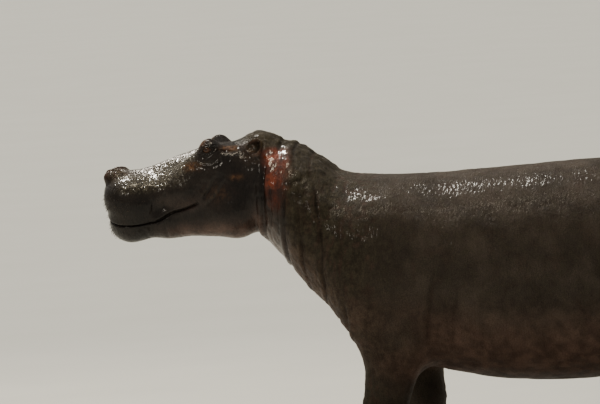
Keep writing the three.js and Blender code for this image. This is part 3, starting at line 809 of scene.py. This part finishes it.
# ---------- materials
class Shader:
    """Builds one material's nodes."""

    def __init__(self, name):
        self.material = bpy.data.materials.new(name)
        self.material.use_nodes = True
        self.tree = self.material.node_tree
        self.bsdf = self.tree.nodes["Principled BSDF"]
        coordinates = self.tree.nodes.new("ShaderNodeTexCoord")
        self.place = coordinates.outputs["Object"]

    def node(self, kind, inputs=None, **settings):
        node = self.tree.nodes.new("ShaderNode" + kind)
        for key, value in settings.items():
            setattr(node, key, value)
        for key, value in (inputs or {}).items():
            self.link(value, node.inputs[key])
        return node

    def link(self, value, socket):
        if isinstance(value, bpy.types.NodeSocket):
            self.tree.links.new(value, socket)
        else:
            socket.default_value = value

    def set(self, **values):
        for key, value in values.items():
            self.link(value, self.bsdf.inputs[key.replace("_", " ")])

    def attribute(self, name):
        return self.node("Attribute", attribute_name=name).outputs["Fac"]

    def noise(self, size, detail=3.0, stretch=None, rough=0.5, distort=0.0):
        place = self.place
        if stretch:
            place = self.node("Mapping", {"Vector": place, "Scale": stretch}).outputs[0]
        inputs = {"Vector": place, "Scale": 1 / size, "Detail": detail, "Roughness": rough,
                  "Distortion": distort}
        return self.node("TexNoise", inputs).outputs["Fac"]

    def cells(self, size, feature="F1", spread=1.0):
        inputs = {"Vector": self.place, "Scale": 1 / size, "Randomness": spread}
        return self.node("TexVoronoi", inputs, feature=feature).outputs["Distance"]

    def ramp(self, value, low, high, to_low=0.0, to_high=1.0):
        inputs = {"Value": value, 1: low, 2: high, 3: to_low, 4: to_high}
        return self.node("MapRange", inputs, interpolation_type="SMOOTHSTEP").outputs[0]

    def math(self, operation, a, b=0.0, c=0.0):
        return self.node("Math", {0: a, 1: b, 2: c}, operation=operation).outputs[0]

    def mix(self, share, a, b):
        a, b = (v if isinstance(v, bpy.types.NodeSocket) else (*v, 1) for v in (a, b))
        return self.node("Mix", {0: share, 6: a, 7: b}, data_type="RGBA").outputs[2]

    def bump(self, height, distance, strength=1.0, normal=None):
        inputs = {"Height": height, "Distance": distance, "Strength": strength}
        if normal is not None:
            inputs["Normal"] = normal
        return self.node("Bump", inputs).outputs[0]


# The two colours between which each kind of hide varies.
HIDE = {
    "black": ((0.0105, 0.0082, 0.0074), (0.0230, 0.0175, 0.0145)),
    "olive": ((0.0255, 0.0210, 0.0142), (0.054, 0.0455, 0.030)),
    "body": ((0.036, 0.0285, 0.0240), (0.066, 0.052, 0.043)),
    # the snout top: partly its own paler tone, partly painted sheen
    "grey_and_sheen": ((0.026, 0.021, 0.014), (0.085, 0.074, 0.052)),
    "red": ((0.058, 0.0110, 0.0040), (0.215, 0.038, 0.0095)),
    # tan skin, also used for painted glints
    "tan": ((0.090, 0.034, 0.0150), (0.300, 0.145, 0.062)),
    "pale": ((0.085, 0.048, 0.038), (0.170, 0.098, 0.078)),
}
BODY_LUMPS = (0.050, 0.043, 0.030)
# Painted glints on the snout's bumps.
PAINTED_GLINT_COLOUR = (0.200, 0.182, 0.140)
# Painted shade for creases, slits and hollows.
PAINTED_SHADE_COLOUR = (0.0075, 0.0048, 0.0042)
MOTTLES = [("red", 0.045, 0.36, 0.66), ("tan", 0.020, 0.38, 0.62), ("pale", 0.060, 0.36, 0.66)]


def hide_colours(s, beads_with_painted_glints):
    """The hide's colour from the marks stored on the skin, with painted glints on the snout."""
    broad = s.ramp(s.noise(0.16, 4), 0.35, 0.68)
    lump = s.ramp(s.noise(0.030, 5, rough=0.65), 0.34, 0.68)
    colour = s.mix(broad, *HIDE["black"])
    colour = s.mix(s.attribute("olive"), colour, s.mix(lump, *HIDE["olive"]))
    body = s.mix(broad, *HIDE["body"])
    body = s.mix(s.math("MULTIPLY", lump, 0.5), body, BODY_LUMPS)
    colour = s.mix(s.attribute("body"), colour, body)
    # Painted glints: the snout's bumps turn pale.
    grey_and_sheen = s.mix(beads_with_painted_glints, s.mix(s.ramp(s.noise(0.012, 3), 0.40, 0.64), *HIDE["grey_and_sheen"]), PAINTED_GLINT_COLOUR)
    # The snout top's paler colour: partly its own, partly painted sheen where it faces up.
    colour = s.mix(s.attribute("grey_and_sheen"), colour, grey_and_sheen)
    for mark, size, low, high in MOTTLES:
        mottled = s.mix(s.ramp(s.noise(size, 4), low, high), *HIDE[mark])
        colour = s.mix(s.attribute(mark), colour, mottled)
    fine = s.ramp(s.noise(0.0045, 3, rough=0.7), 0.30, 0.70, 0.70, 1.30)
    inputs = {0: 1.0, 6: colour, 7: fine}
    colour = s.node("Mix", inputs, data_type="RGBA", blend_type="MULTIPLY").outputs[2]
    # Painted shade darkens the creases, slits and hollows.
    return s.mix(s.math("MULTIPLY", s.attribute("painted_shade"), 0.82), colour, PAINTED_SHADE_COLOUR)


def hide_material():
    s = Shader("wet_hide")
    wet = s.attribute("wet")
    snout = s.attribute("grey_and_sheen")
    # Raised bumps on the snout, which the colour also paints pale as glints.
    drops_with_painted_glints = s.ramp(s.cells(0.0170), 0.16, 0.46, 1.0, 0.0)
    drops_with_painted_glints = s.math("MULTIPLY", drops_with_painted_glints, s.ramp(s.noise(0.030, 2), 0.36, 0.56))
    beads_with_painted_glints = s.math("MULTIPLY", snout, drops_with_painted_glints)
    crackle = s.ramp(s.cells(0.0062, "DISTANCE_TO_EDGE"), 0.0, 0.16)
    plates = s.ramp(s.cells(0.0260, "DISTANCE_TO_EDGE"), 0.0, 0.10)
    grain = s.noise(0.0028, 3, rough=0.6)
    wrinkle = s.ramp(s.noise(0.016, 5, (0.8, 1.5, 0.55), 0.62, 0.6), 0.34, 0.62)
    normal = s.bump(wrinkle, 0.0034, 0.75)
    normal = s.bump(s.math("MULTIPLY", plates, s.attribute("body")), 0.0016, 0.55, normal)
    normal = s.bump(crackle, 0.0010, 0.55, normal)
    normal = s.bump(grain, 0.0008, 0.6, normal)
    normal = s.bump(beads_with_painted_glints, 0.0060, 1.0, normal)
    # The film of water over it follows only the coarser relief.
    film = s.bump(s.noise(0.024, 1.5, (0.8, 1.4, 0.6)), 0.0050, 0.8)
    film = s.bump(beads_with_painted_glints, 0.0050, 1.0, film)
    gloss = s.math("MAXIMUM", beads_with_painted_glints, s.attribute("red"))
    patchy = s.ramp(s.noise(0.05, 4), 0.35, 0.65, -0.06, 0.10)
    rough = s.math("ADD", s.ramp(wet, 0.0, 1.0, 0.62, 0.40), patchy)
    s.set(
        Base_Color=hide_colours(s, drops_with_painted_glints),
        Roughness=s.math("SUBTRACT", rough, s.math("MULTIPLY", beads_with_painted_glints, 0.26)),
        Normal=normal,
        Coat_Normal=film,
        Coat_Weight=s.math("ADD", s.ramp(wet, 0, 1, 0.02, 0.38), s.math("MULTIPLY", gloss, 0.60)),
        Coat_Roughness=0.15,
        Specular_IOR_Level=0.03,
    )
    return s.material


def eye_material():
    """A dark brown ball whose iris, pupil and rim follow its own axes."""
    s = Shader("eyeball")
    angle = s.attribute("iris")
    fibre = s.noise(0.0022, 4, rough=0.7)
    iris = s.mix(fibre, (0.020, 0.008, 0.004), (0.085, 0.034, 0.013))
    rim = (0.006, 0.004, 0.003)
    white = s.mix(s.noise(0.006, 4), (0.060, 0.026, 0.020), (0.150, 0.085, 0.066))
    colour = s.mix(s.ramp(angle, 0.66, 0.76), iris, s.mix(s.ramp(angle, 0.78, 0.88), rim, white))
    colour = s.mix(s.attribute("pupil"), colour, (0.002, 0.002, 0.002))
    s.set(Base_Color=colour, Normal=s.bump(s.noise(0.01, 2), 0.0003, 0.2), Roughness=0.30,
          Specular_IOR_Level=0.10, Coat_Weight=0.55, Coat_Roughness=0.03)
    return s.material


def nail_material():
    s = Shader("toenail_horn")
    bands = s.noise(0.007, 3, (0.25, 0.25, 1.6))
    colour = s.mix(s.ramp(bands, 0.35, 0.65), (0.012, 0.009, 0.0075), (0.036, 0.027, 0.020))
    colour = s.mix(s.ramp(s.noise(0.02, 4), 0.5, 0.72, 0, 0.5), colour, (0.070, 0.055, 0.040))
    streak = s.noise(0.004, 3, (1.0, 1.0, 0.12))
    normal = s.bump(streak, 0.0009, 0.5, s.bump(bands, 0.0016, 0.55))
    rough = s.ramp(s.noise(0.015, 3), 0.3, 0.7, 0.34, 0.58)
    s.set(Base_Color=colour, Normal=normal, Roughness=rough)
    return s.material


def bristle_material():
    s = Shader("bristle")
    tip = s.ramp(s.attribute("tip"), 0.0, 1.0)
    colour = s.mix(tip, (0.014, 0.010, 0.008), (0.105, 0.075, 0.050))
    s.set(Base_Color=colour, Normal=s.bump(s.noise(0.003, 2), 0.0002, 0.4), Roughness=0.42)
    return s.material


def floor_material():
    s = Shader("studio_floor")
    colour = s.mix(s.noise(0.9, 3), (0.50, 0.50, 0.45), (0.56, 0.56, 0.51))
    s.set(Base_Color=colour, Normal=s.bump(s.noise(0.02, 3), 0.0006, 0.2), Roughness=0.62)
    return s.material


# ---------- marks of the hide
def blob(p, centre, shape, size):
    """1 at a place, fading over size."""
    return np.exp(-(((p - centre) / shape) ** 2).sum(1) / size ** 2)


# Patches on the head, partly own tan skin and partly painted glints: strength, centre, shape, size.
TAN_AND_GLINT_PATCHES = [
    (0.75, (0.184, 0.520, 1.594), (1.0, 0.9, 0.7), 0.030),  # before the brow
    (0.60, (0.210, 0.480, 1.486), (1, 1.6, 0.6), 0.030),  # before the eye
    (0.60, (0.165, 0.655, 1.560), (1.5, 1.7, 0.6), 0.025),  # between brow and ear
    (0.14, (0.240, 0.600, 1.350), (1, 1.3, 0.8), 0.045),  # cheek
    (0.40, (0.235, 0.690, 1.425), (1, 1.3, 0.6), 0.022),  # jowl
]
ROUND = (1, 1, 1)


def marks(p, n, painted_shade):
    """How strongly each kind of hide shows at each place: the shader mixes its colours by these."""
    side = on_left(p)
    _, back, z = side.T
    up = n[:, 2]
    uneven = 0.5 + 0.5 * noise(p, 0.060, 31)
    patch = noise(p, 0.110, 32)
    is_head = 1 - smooth(back, 0.790, 0.850)
    body = smooth(back, 1.100, 1.700)
    flushed = flushed_side(side)
    mound = blob(side, (0.088, 0.066, 1.468), (1.2, 1.3, 1.0), 0.055)  # round the nostril

    olive = (1 - is_head) * smooth(back, 0.900, 0.970) * (0.75 + 0.25 * uneven)
    crown = smooth(z + 0.02 * patch, 1.515, 1.575) * smooth(back + 0.03 * patch, 0.690, 0.790)
    olive = np.maximum(np.maximum(olive, crown), 0.40 * mound)
    uneven_back = back + 0.040 * patch + 0.020 * noise(p, 0.035, 34)
    # The snout's upward faces: partly their own paler tone, partly painted sheen.
    grey_and_sheen = is_head * smooth(up, 0.10, 0.55) * band(uneven_back, 0.110, 0.440, 0.08)
    grey_and_sheen = grey_and_sheen * smooth(z, 1.34, 1.41) * (0.35 + 0.65 * smooth(patch, -0.5, 0.3))
    red = flushed * (0.70 + 0.30 * uneven) * (1 - 0.45 * smooth(back, 0.860, 0.960))
    red = np.maximum(red, 0.12 * mound * (1 - painted_shade))
    # Tan skin round the ear and at the listed patches, which are partly painted glints; noise
    # breaks it up.
    tan = 0.14 * blob(side, EAR_MIDDLE, ROUND, 0.060) * (z > 1.48)
    for strength, *place in TAN_AND_GLINT_PATCHES:
        tan = np.maximum(tan, strength * blob(side, *place))
    tan *= 1 - 0.6 * smooth(noise(p, 0.014, 33), -0.1, 0.5)

    under = smooth(-up, -0.05, 0.75) * smooth(back, 0.20, 0.50)
    pale = np.maximum(0.55 * under * smooth(z, 0.28, 0.45), 0.16 * is_head * under)
    chest = blob(side, (0.150, 1.300, 0.750), (1.2, 1, 1), 0.200)
    armpit = blob(side, (0.300, 1.640, 0.560), ROUND, 0.130)
    groin = blob(side, (0.300, 2.600, 0.520), ROUND, 0.130)
    pale = np.maximum(pale, 0.45 * np.maximum(chest, armpit + groin))
    folds = smooth(painted_shade, 0.15, 0.45) * (1 - smooth(painted_shade, 0.5, 0.8)) * smooth(back, 0.9, 1.2)
    pale = np.maximum(pale, 0.30 * folds)

    q, ball_field, hollow = ear_forms(side)
    inner = (1 - smooth(np.abs(hollow), 0.002, 0.005)) * (1 - smooth(ball_field, -0.001, 0.004))
    # Painted shade inside the ear's hollow.
    painted_shade = np.maximum(painted_shade, 0.95 * inner * (1 - smooth(q[:, 2], -0.008, 0.020)))
    wet = (1 - 0.85 * olive) * (1 - 0.35 * body) * (0.55 + 0.45 * smooth(z, 0.35, 0.90))
    wet *= (1 - 0.7 * inner) * (1 - 0.6 * mound)
    wet *= 1 - 0.85 * is_head * smooth(up, 0.55, 0.90) * band(back, 0.530, 0.740, 0.05)
    wet = np.maximum(wet, flushed)
    return dict(painted_shade=painted_shade, body=body, olive=olive * (1 - 0.6 * body), grey_and_sheen=grey_and_sheen, red=red,
                tan=tan, pale=pale, wet=wet)


def store(obj, values):
    for name, numbers in values.items():
        layer = obj.data.attributes.new(name, "FLOAT", "POINT")
        layer.data.foreach_set("value", np.clip(numbers, 0, 1).astype(np.float32))


# ---------- camera, light and floor
AZIMUTH, ELEVATION, ROLL = math.radians(98), math.radians(3.6), math.radians(3.5)
LENS, DISTANCE = 0.400, 32.5
SENSOR = 0.036
WIDTH, HEIGHT = 600, 404
AIM, AIM_PIXEL = row((0, 0, 1.420)), (103, 182.3)  # the nose's tip, and where it lies in the frame
WARM = (1.0, 0.91, 0.78)  # the lamps' colour


def placed(place, right, up, back):
    """The matrix of something at a place that looks along the opposite of back."""
    return Matrix.Translation(place) @ Matrix((right, up, back)).transposed().to_4x4()


def make_camera():
    level = math.cos(ELEVATION)
    back = Vector((math.sin(AZIMUTH) * level, -math.cos(AZIMUTH) * level, math.sin(ELEVATION)))
    right = (-back).cross(Vector((0, 0, 1))).normalized()
    up = right.cross(-back)
    across = right * math.cos(ROLL) - up * math.sin(ROLL)
    upward = right * math.sin(ROLL) + up * math.cos(ROLL)
    pixel = DISTANCE * SENSOR / LENS / WIDTH
    place = Vector(AIM) + back * DISTANCE
    place -= across * (AIM_PIXEL[0] - WIDTH / 2) * pixel
    place += upward * (AIM_PIXEL[1] - HEIGHT / 2) * pixel
    data = bpy.data.cameras.new("camera")
    data.lens, data.sensor_width = LENS * 1000, SENSOR * 1000
    data.clip_end = 500
    bpy.context.scene.camera = add("camera", data, placed(place, across, upward, back))


def make_light(name, place, aim, size, power, color=WARM, length=None, along=(0, 0, 1)):
    """A soft lamp: a disc, or a strip whose length runs along a direction."""
    data = bpy.data.lights.new(name, "AREA")
    data.shape = "RECTANGLE" if length else "DISK"
    data.size, data.size_y, data.energy, data.color = size, length or size, power, color
    back = (Vector(place) - Vector(aim)).normalized()
    up = (Vector(along) - back * back.dot(Vector(along))).normalized()
    add(name, data, placed(place, up.cross(back), up, back))


def make_studio():
    mesh = bpy.data.meshes.new("floor")
    form = bmesh.new()
    bmesh.ops.create_grid(form, x_segments=16, y_segments=16, size=180)
    form.to_mesh(mesh)
    form.free()
    mesh.materials.append(floor_material())
    floor = add("floor", mesh)
    world = bpy.data.worlds.new("studio")
    world.use_nodes = True
    background = world.node_tree.nodes["Background"]
    background.inputs["Color"].default_value = (0.92, 0.88, 0.79, 1)
    background.inputs["Strength"].default_value = 0.36
    bpy.context.scene.world = world
    sun = bpy.data.lights.new("key", "SUN")
    sun.energy, sun.angle, sun.color = 4.2, math.radians(7), (1.0, 0.94, 0.84)
    add("key", sun).rotation_euler = Vector((-0.62, -0.34, 1.0)).to_track_quat("Z", "Y").to_euler()
    make_light("glint", (4.6, -3.6, 4.9), (0, -0.9, 1.35), 0.55, 70)
    make_light("back", (-5.5, -3.4, 4.6), (0, -1.3, 1.4), 1.2, 110)
    make_light("strip", (1.24, -1.13, 6.4), (0.23, -0.87, 1.5), 0.20, 112, (1.0, 0.86, 0.64), 3.0,
               (-0.55, 0.60, 0.13))


# ---------- the animal
def ride(obj, material, slot, *nodes):
    obj.data.materials.append(material)
    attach(obj, "root")
    if nodes:
        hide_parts(*nodes)


def make_hide():
    """Builds the skin. Returns its points, their normals and the area round each."""
    p, tris = make_skin()
    n = normals_at(p)
    out, painted_shade = detail(p, n)
    places = p + n * out[:, None]
    skin = new_object("skin", places, tris)
    store(skin, marks(p, n, painted_shade))
    flesh_nodes = [name for name in SOLIDS if not name.startswith(("eye", "nail"))]
    ride(skin, hide_material(), "hide", *flesh_nodes)
    a, b, c = (p[tris[:, corner]] for corner in range(3))
    area = np.linalg.norm(np.cross(b - a, c - a), axis=1)
    return places, n, sum(np.bincount(tris[:, corner], area, len(p)) for corner in range(3))


def ball(rings, turns):
    """A unit ball's points and triangles."""
    form = bmesh.new()
    bmesh.ops.create_uvsphere(form, u_segments=turns, v_segments=rings, radius=1)
    bmesh.ops.triangulate(form, faces=form.faces)
    p = np.array([v.co for v in form.verts])
    faces = np.array([[v.index for v in f.verts] for f in form.faces])
    form.free()
    return p, faces


def make_eyes():
    material = eye_material()
    for name, sign in (("eye_left", 1), ("eye_right", -1)):
        u, faces = ball(48, 64)
        look = unit((sign, -0.22, 0.10))
        up = np.cross(unit(np.cross(look, (0, 0, 1))), look)
        ahead = u @ look
        angle = np.arccos(np.clip(ahead, -1, 1))
        bulge = 1 + 0.045 * (1 - smooth(angle, 0.45, 0.72))
        p = u * bulge[:, None] * EYE_RADIUS + EYE * (sign, 1, 1)
        eye = new_object(name.replace("eye_", "eyeball_"), p, faces)
        oval = np.hypot(u @ np.cross(up, look) / PUPIL[0], u @ up / PUPIL[1])
        store(eye, {"iris": angle, "pupil": (1 - smooth(oval, 0.85, 1.1)) * (ahead > 0)})
        ride(eye, material, "eye", name)


NAIL_MIDDLE = (0.027, -0.006)  # ahead of the toe's middle, and above it
NAIL_SIZE = (0.031, 0.031, 0.034)
NAIL_CLEAR = 0.003  # above the floor
NAIL_INNER = (0.80, 0.72, 0.94)  # the inner face's size to the outer's
NAIL_GRID = (29, 23)


def nail_form():
    """A nail's outer face in its toe's own axes, as a grid from side to side and from top to floor.

    It is the front of a flattened ball, a little flared at its lower edge, with rounded corners.
    """
    ahead, up = NAIL_MIDDLE
    across = np.linspace(-1, 1, NAIL_GRID[0])[:, None]
    down = np.linspace(0, 1, NAIL_GRID[1])[None, :]
    wrap = 0.80 - 0.45 * (1 - down) ** 2.2
    turn = across * math.radians(86) * wrap
    top, low = NAIL_SIZE[2] * 0.93, -NAIL_SIZE[2] * 0.86
    z = top + (low - top) * down - 0.010 * (1 - down) * across ** 2
    lift = np.sqrt(np.clip(1 - (z / NAIL_SIZE[2]) ** 2, 0.02, 1))
    flare = np.maximum(lift, 0.93 * smooth(-z, -0.010, 0.012))
    grow = 1 + 0.010 * np.sin(down * 24 + 0.9 * np.cos(across * 1.4)) * smooth(down, 0.1, 0.3)
    x = np.sin(turn) * NAIL_SIZE[0] * flare * grow * 1.03
    y = -ahead - np.cos(turn) * NAIL_SIZE[1] * flare * grow
    return np.stack([x, y, z + up], -1)


def make_nails():
    """All the toenails as one piece: closed plates let into the toes."""
    outer = nail_form()
    inner = outer * NAIL_INNER + (0, -0.004, 0)
    plate = np.concatenate([outer.reshape(-1, 3), inner.reshape(-1, 3)])
    behind = len(plate) // 2  # from a point of the outer face to the inner one's
    index = np.arange(behind).reshape(NAIL_GRID)
    quads = np.stack([index[:-1, :-1], index[:-1, 1:], index[1:, 1:], index[1:, :-1]], -1)
    quads = quads.reshape(-1, 4)
    loop = np.concatenate([index[0, :], index[1:, -1], index[-1, -2::-1], index[-2:0:-1, 0]])
    rim = np.stack([loop, loop + behind, np.roll(loop, -1) + behind, np.roll(loop, -1)], -1)
    faces = np.concatenate([quads, quads[:, ::-1] + behind, rim[:, ::-1]])
    points, all_faces = [], []
    for (x, back, size), step in ((FORE, -STRIDE), (HIND, STRIDE)):
        for sign in (1, -1):
            for at, turn in toe_places(x, back + step * sign, size):
                p = plate * size @ toe_axes(turn).T + at
                p[:, 2] = np.maximum(p[:, 2], NAIL_CLEAR)
                p[:, 0] *= sign
                all_faces.append((faces if sign > 0 else faces[:, ::-1]) + len(plate) * len(points))
                points.append(p)
    nails = new_object("toenails", np.concatenate(points), np.concatenate(all_faces))
    ride(nails, nail_material(), "nail", *[name for name in SOLIDS if name.startswith("nail")])


# Bristles, by kind: how many tufts, the strands in each, their radius, shortest and longest length,
# and which way they lean on the left side.
BRISTLES = {
    "lips": (300, 3, 0.00040, 0.007, 0.017, (0, 0, -0.35)),
    "ears": (130, 3, 0.00035, 0.006, 0.013, EAR_OPEN * 0.5 + EAR_AXIS * 0.8),
    "tail": (150, 4, 0.00065, 0.024, 0.050, (0, 0, -0.9)),
    "body": (1500, 1, 0.00035, 0.008, 0.016, (0, 0.9, -0.6)),
}
ROOT_DEPTH = 0.03  # share of a bristle's length that stands in the skin
LEVELS = np.array([0.0, 0.3, 0.62, 1.0])  # where its rings lie
THINNESS = np.array([1.0, 0.85, 0.55, 0.10])

# Each tuft's patch on the OFBake map lies where its root is when the skin is opened out along the
# body and round it.
UNWRAP_LENGTH = 3.6
PATCH = 0.003


def unwrap(p):
    axis_height = np.interp(p[:, 1], (0, 0.7, 1.3, 2.8, 3.4), (1.33, 1.36, 1.03, 0.93, 1.00))
    angle = np.arctan2(p[:, 0], p[:, 2] - axis_height) / math.tau
    return np.stack([0.01 + p[:, 1] / UNWRAP_LENGTH, 0.5 + 0.98 * angle], 1)


def make_bristles(kind, roots, n, seed, material):
    """Tufts of stiff tapering bristles, whose strands part from one root."""
    _, strands, radius, short, long, lean = BRISTLES[kind]
    rng = np.random.default_rng(seed)
    tuft = np.repeat(np.arange(len(roots)), strands)
    count = len(tuft)
    root, out = roots[tuft], n[tuft]
    spread = rng.normal(size=(count, 3))
    spread -= out * (spread * out).sum(1)[:, None]
    lean = np.where(root[:, :1] < 0, (-1, 1, 1), 1) * lean
    root = root + spread * 0.0007
    way = out * 0.9 + lean + spread * 0.16
    way /= np.linalg.norm(way, axis=1)[:, None]
    length = (short + (long - short) * rng.random(len(roots)))[tuft]
    length *= 0.75 + 0.5 * rng.random(count)
    side = np.cross(way, (0.31, 0.22, 0.92))
    side /= np.linalg.norm(side, axis=1)[:, None]
    other = np.cross(way, side)
    bend = rng.normal(size=(count, 3)) * 0.10 + (0, 0.05, -0.16)
    points = np.empty((count, 4, 3, 3))
    for ring, (share, thin) in enumerate(zip(LEVELS, THINNESS)):
        centre = root + length[:, None] * (way * (share - ROOT_DEPTH) + bend * share ** 2)
        for corner in range(3):
            turn = math.tau * corner / 3
            spoke = side * math.cos(turn) + other * math.sin(turn)
            points[:, ring, corner] = centre + spoke * radius * thin
    index = np.arange(count * 12).reshape(count, 4, 3)
    ahead = np.roll(index, -1, axis=2)
    walls = np.stack([index[:, :-1], ahead[:, :-1], ahead[:, 1:], index[:, 1:]], -1).reshape(-1, 4)
    tris = [walls[:, [0, 1, 2]], walls[:, [0, 2, 3]], index[:, 3], index[:, 0, ::-1]]
    uv = np.empty((count, 4, 3, 2))
    uv[...] = unwrap(root)[:, None, None]
    uv[..., 0] += (np.arange(count) % strands / strands)[:, None, None] * PATCH
    uv[..., 1] += LEVELS[None, :, None] * PATCH
    uv[..., 0] += np.arange(3)[None, None, :] * PATCH / strands / 4
    faces = np.concatenate(tris)
    obj = new_object("bristles_" + kind, points.reshape(-1, 3), faces, uv.reshape(-1, 2))
    store(obj, {"tip": np.broadcast_to(LEVELS[None, :, None], (count, 4, 3)).ravel()})
    ride(obj, material, "hide")


def grow_bristles(p, n, area):
    """Draws each kind's roots at random by weight, none twice, and grows them."""
    material = bristle_material()
    side = on_left(p)
    _, back, z = side.T
    pads = np.exp(-((back - 0.10) / 0.09) ** 2 - ((z - 1.315) / 0.055) ** 2)
    chin = 0.5 * np.exp(-((back - 0.08) / 0.08) ** 2 - ((z - 1.190) / 0.035) ** 2)
    lips = (back < 0.310) & (z > 1.13) & (z < 1.410) & (noise(p, 0.03, 41) > -0.1)
    q, ball_field, hollow = ear_forms(side)
    weights = {
        "lips": lips * (pads + chin),
        "ears": (np.abs(ball_field) < 0.005) & (np.abs(hollow) < 0.012) & (q[:, 1] > 0.022),
        "tail": (tail(p) < 0.010) & (z < 0.960) & ((np.abs(n[:, 1]) > 0.55) | (z < 0.790)),
        "body": smooth(back, 0.700, 1.0) * smooth(z, 0.30, 0.60),
    }
    for number, (kind, weight) in enumerate(weights.items()):
        weight = area * weight
        count = min(BRISTLES[kind][0], np.count_nonzero(weight))
        rng = np.random.default_rng(51 + number)
        chosen = rng.choice(len(p), size=count, replace=False, p=weight / weight.sum())
        make_bristles(kind, p[chosen], n[chosen], 61 + number, material)


make_camera()
make_studio()
grow_bristles(*make_hide())
make_eyes()
make_nails()
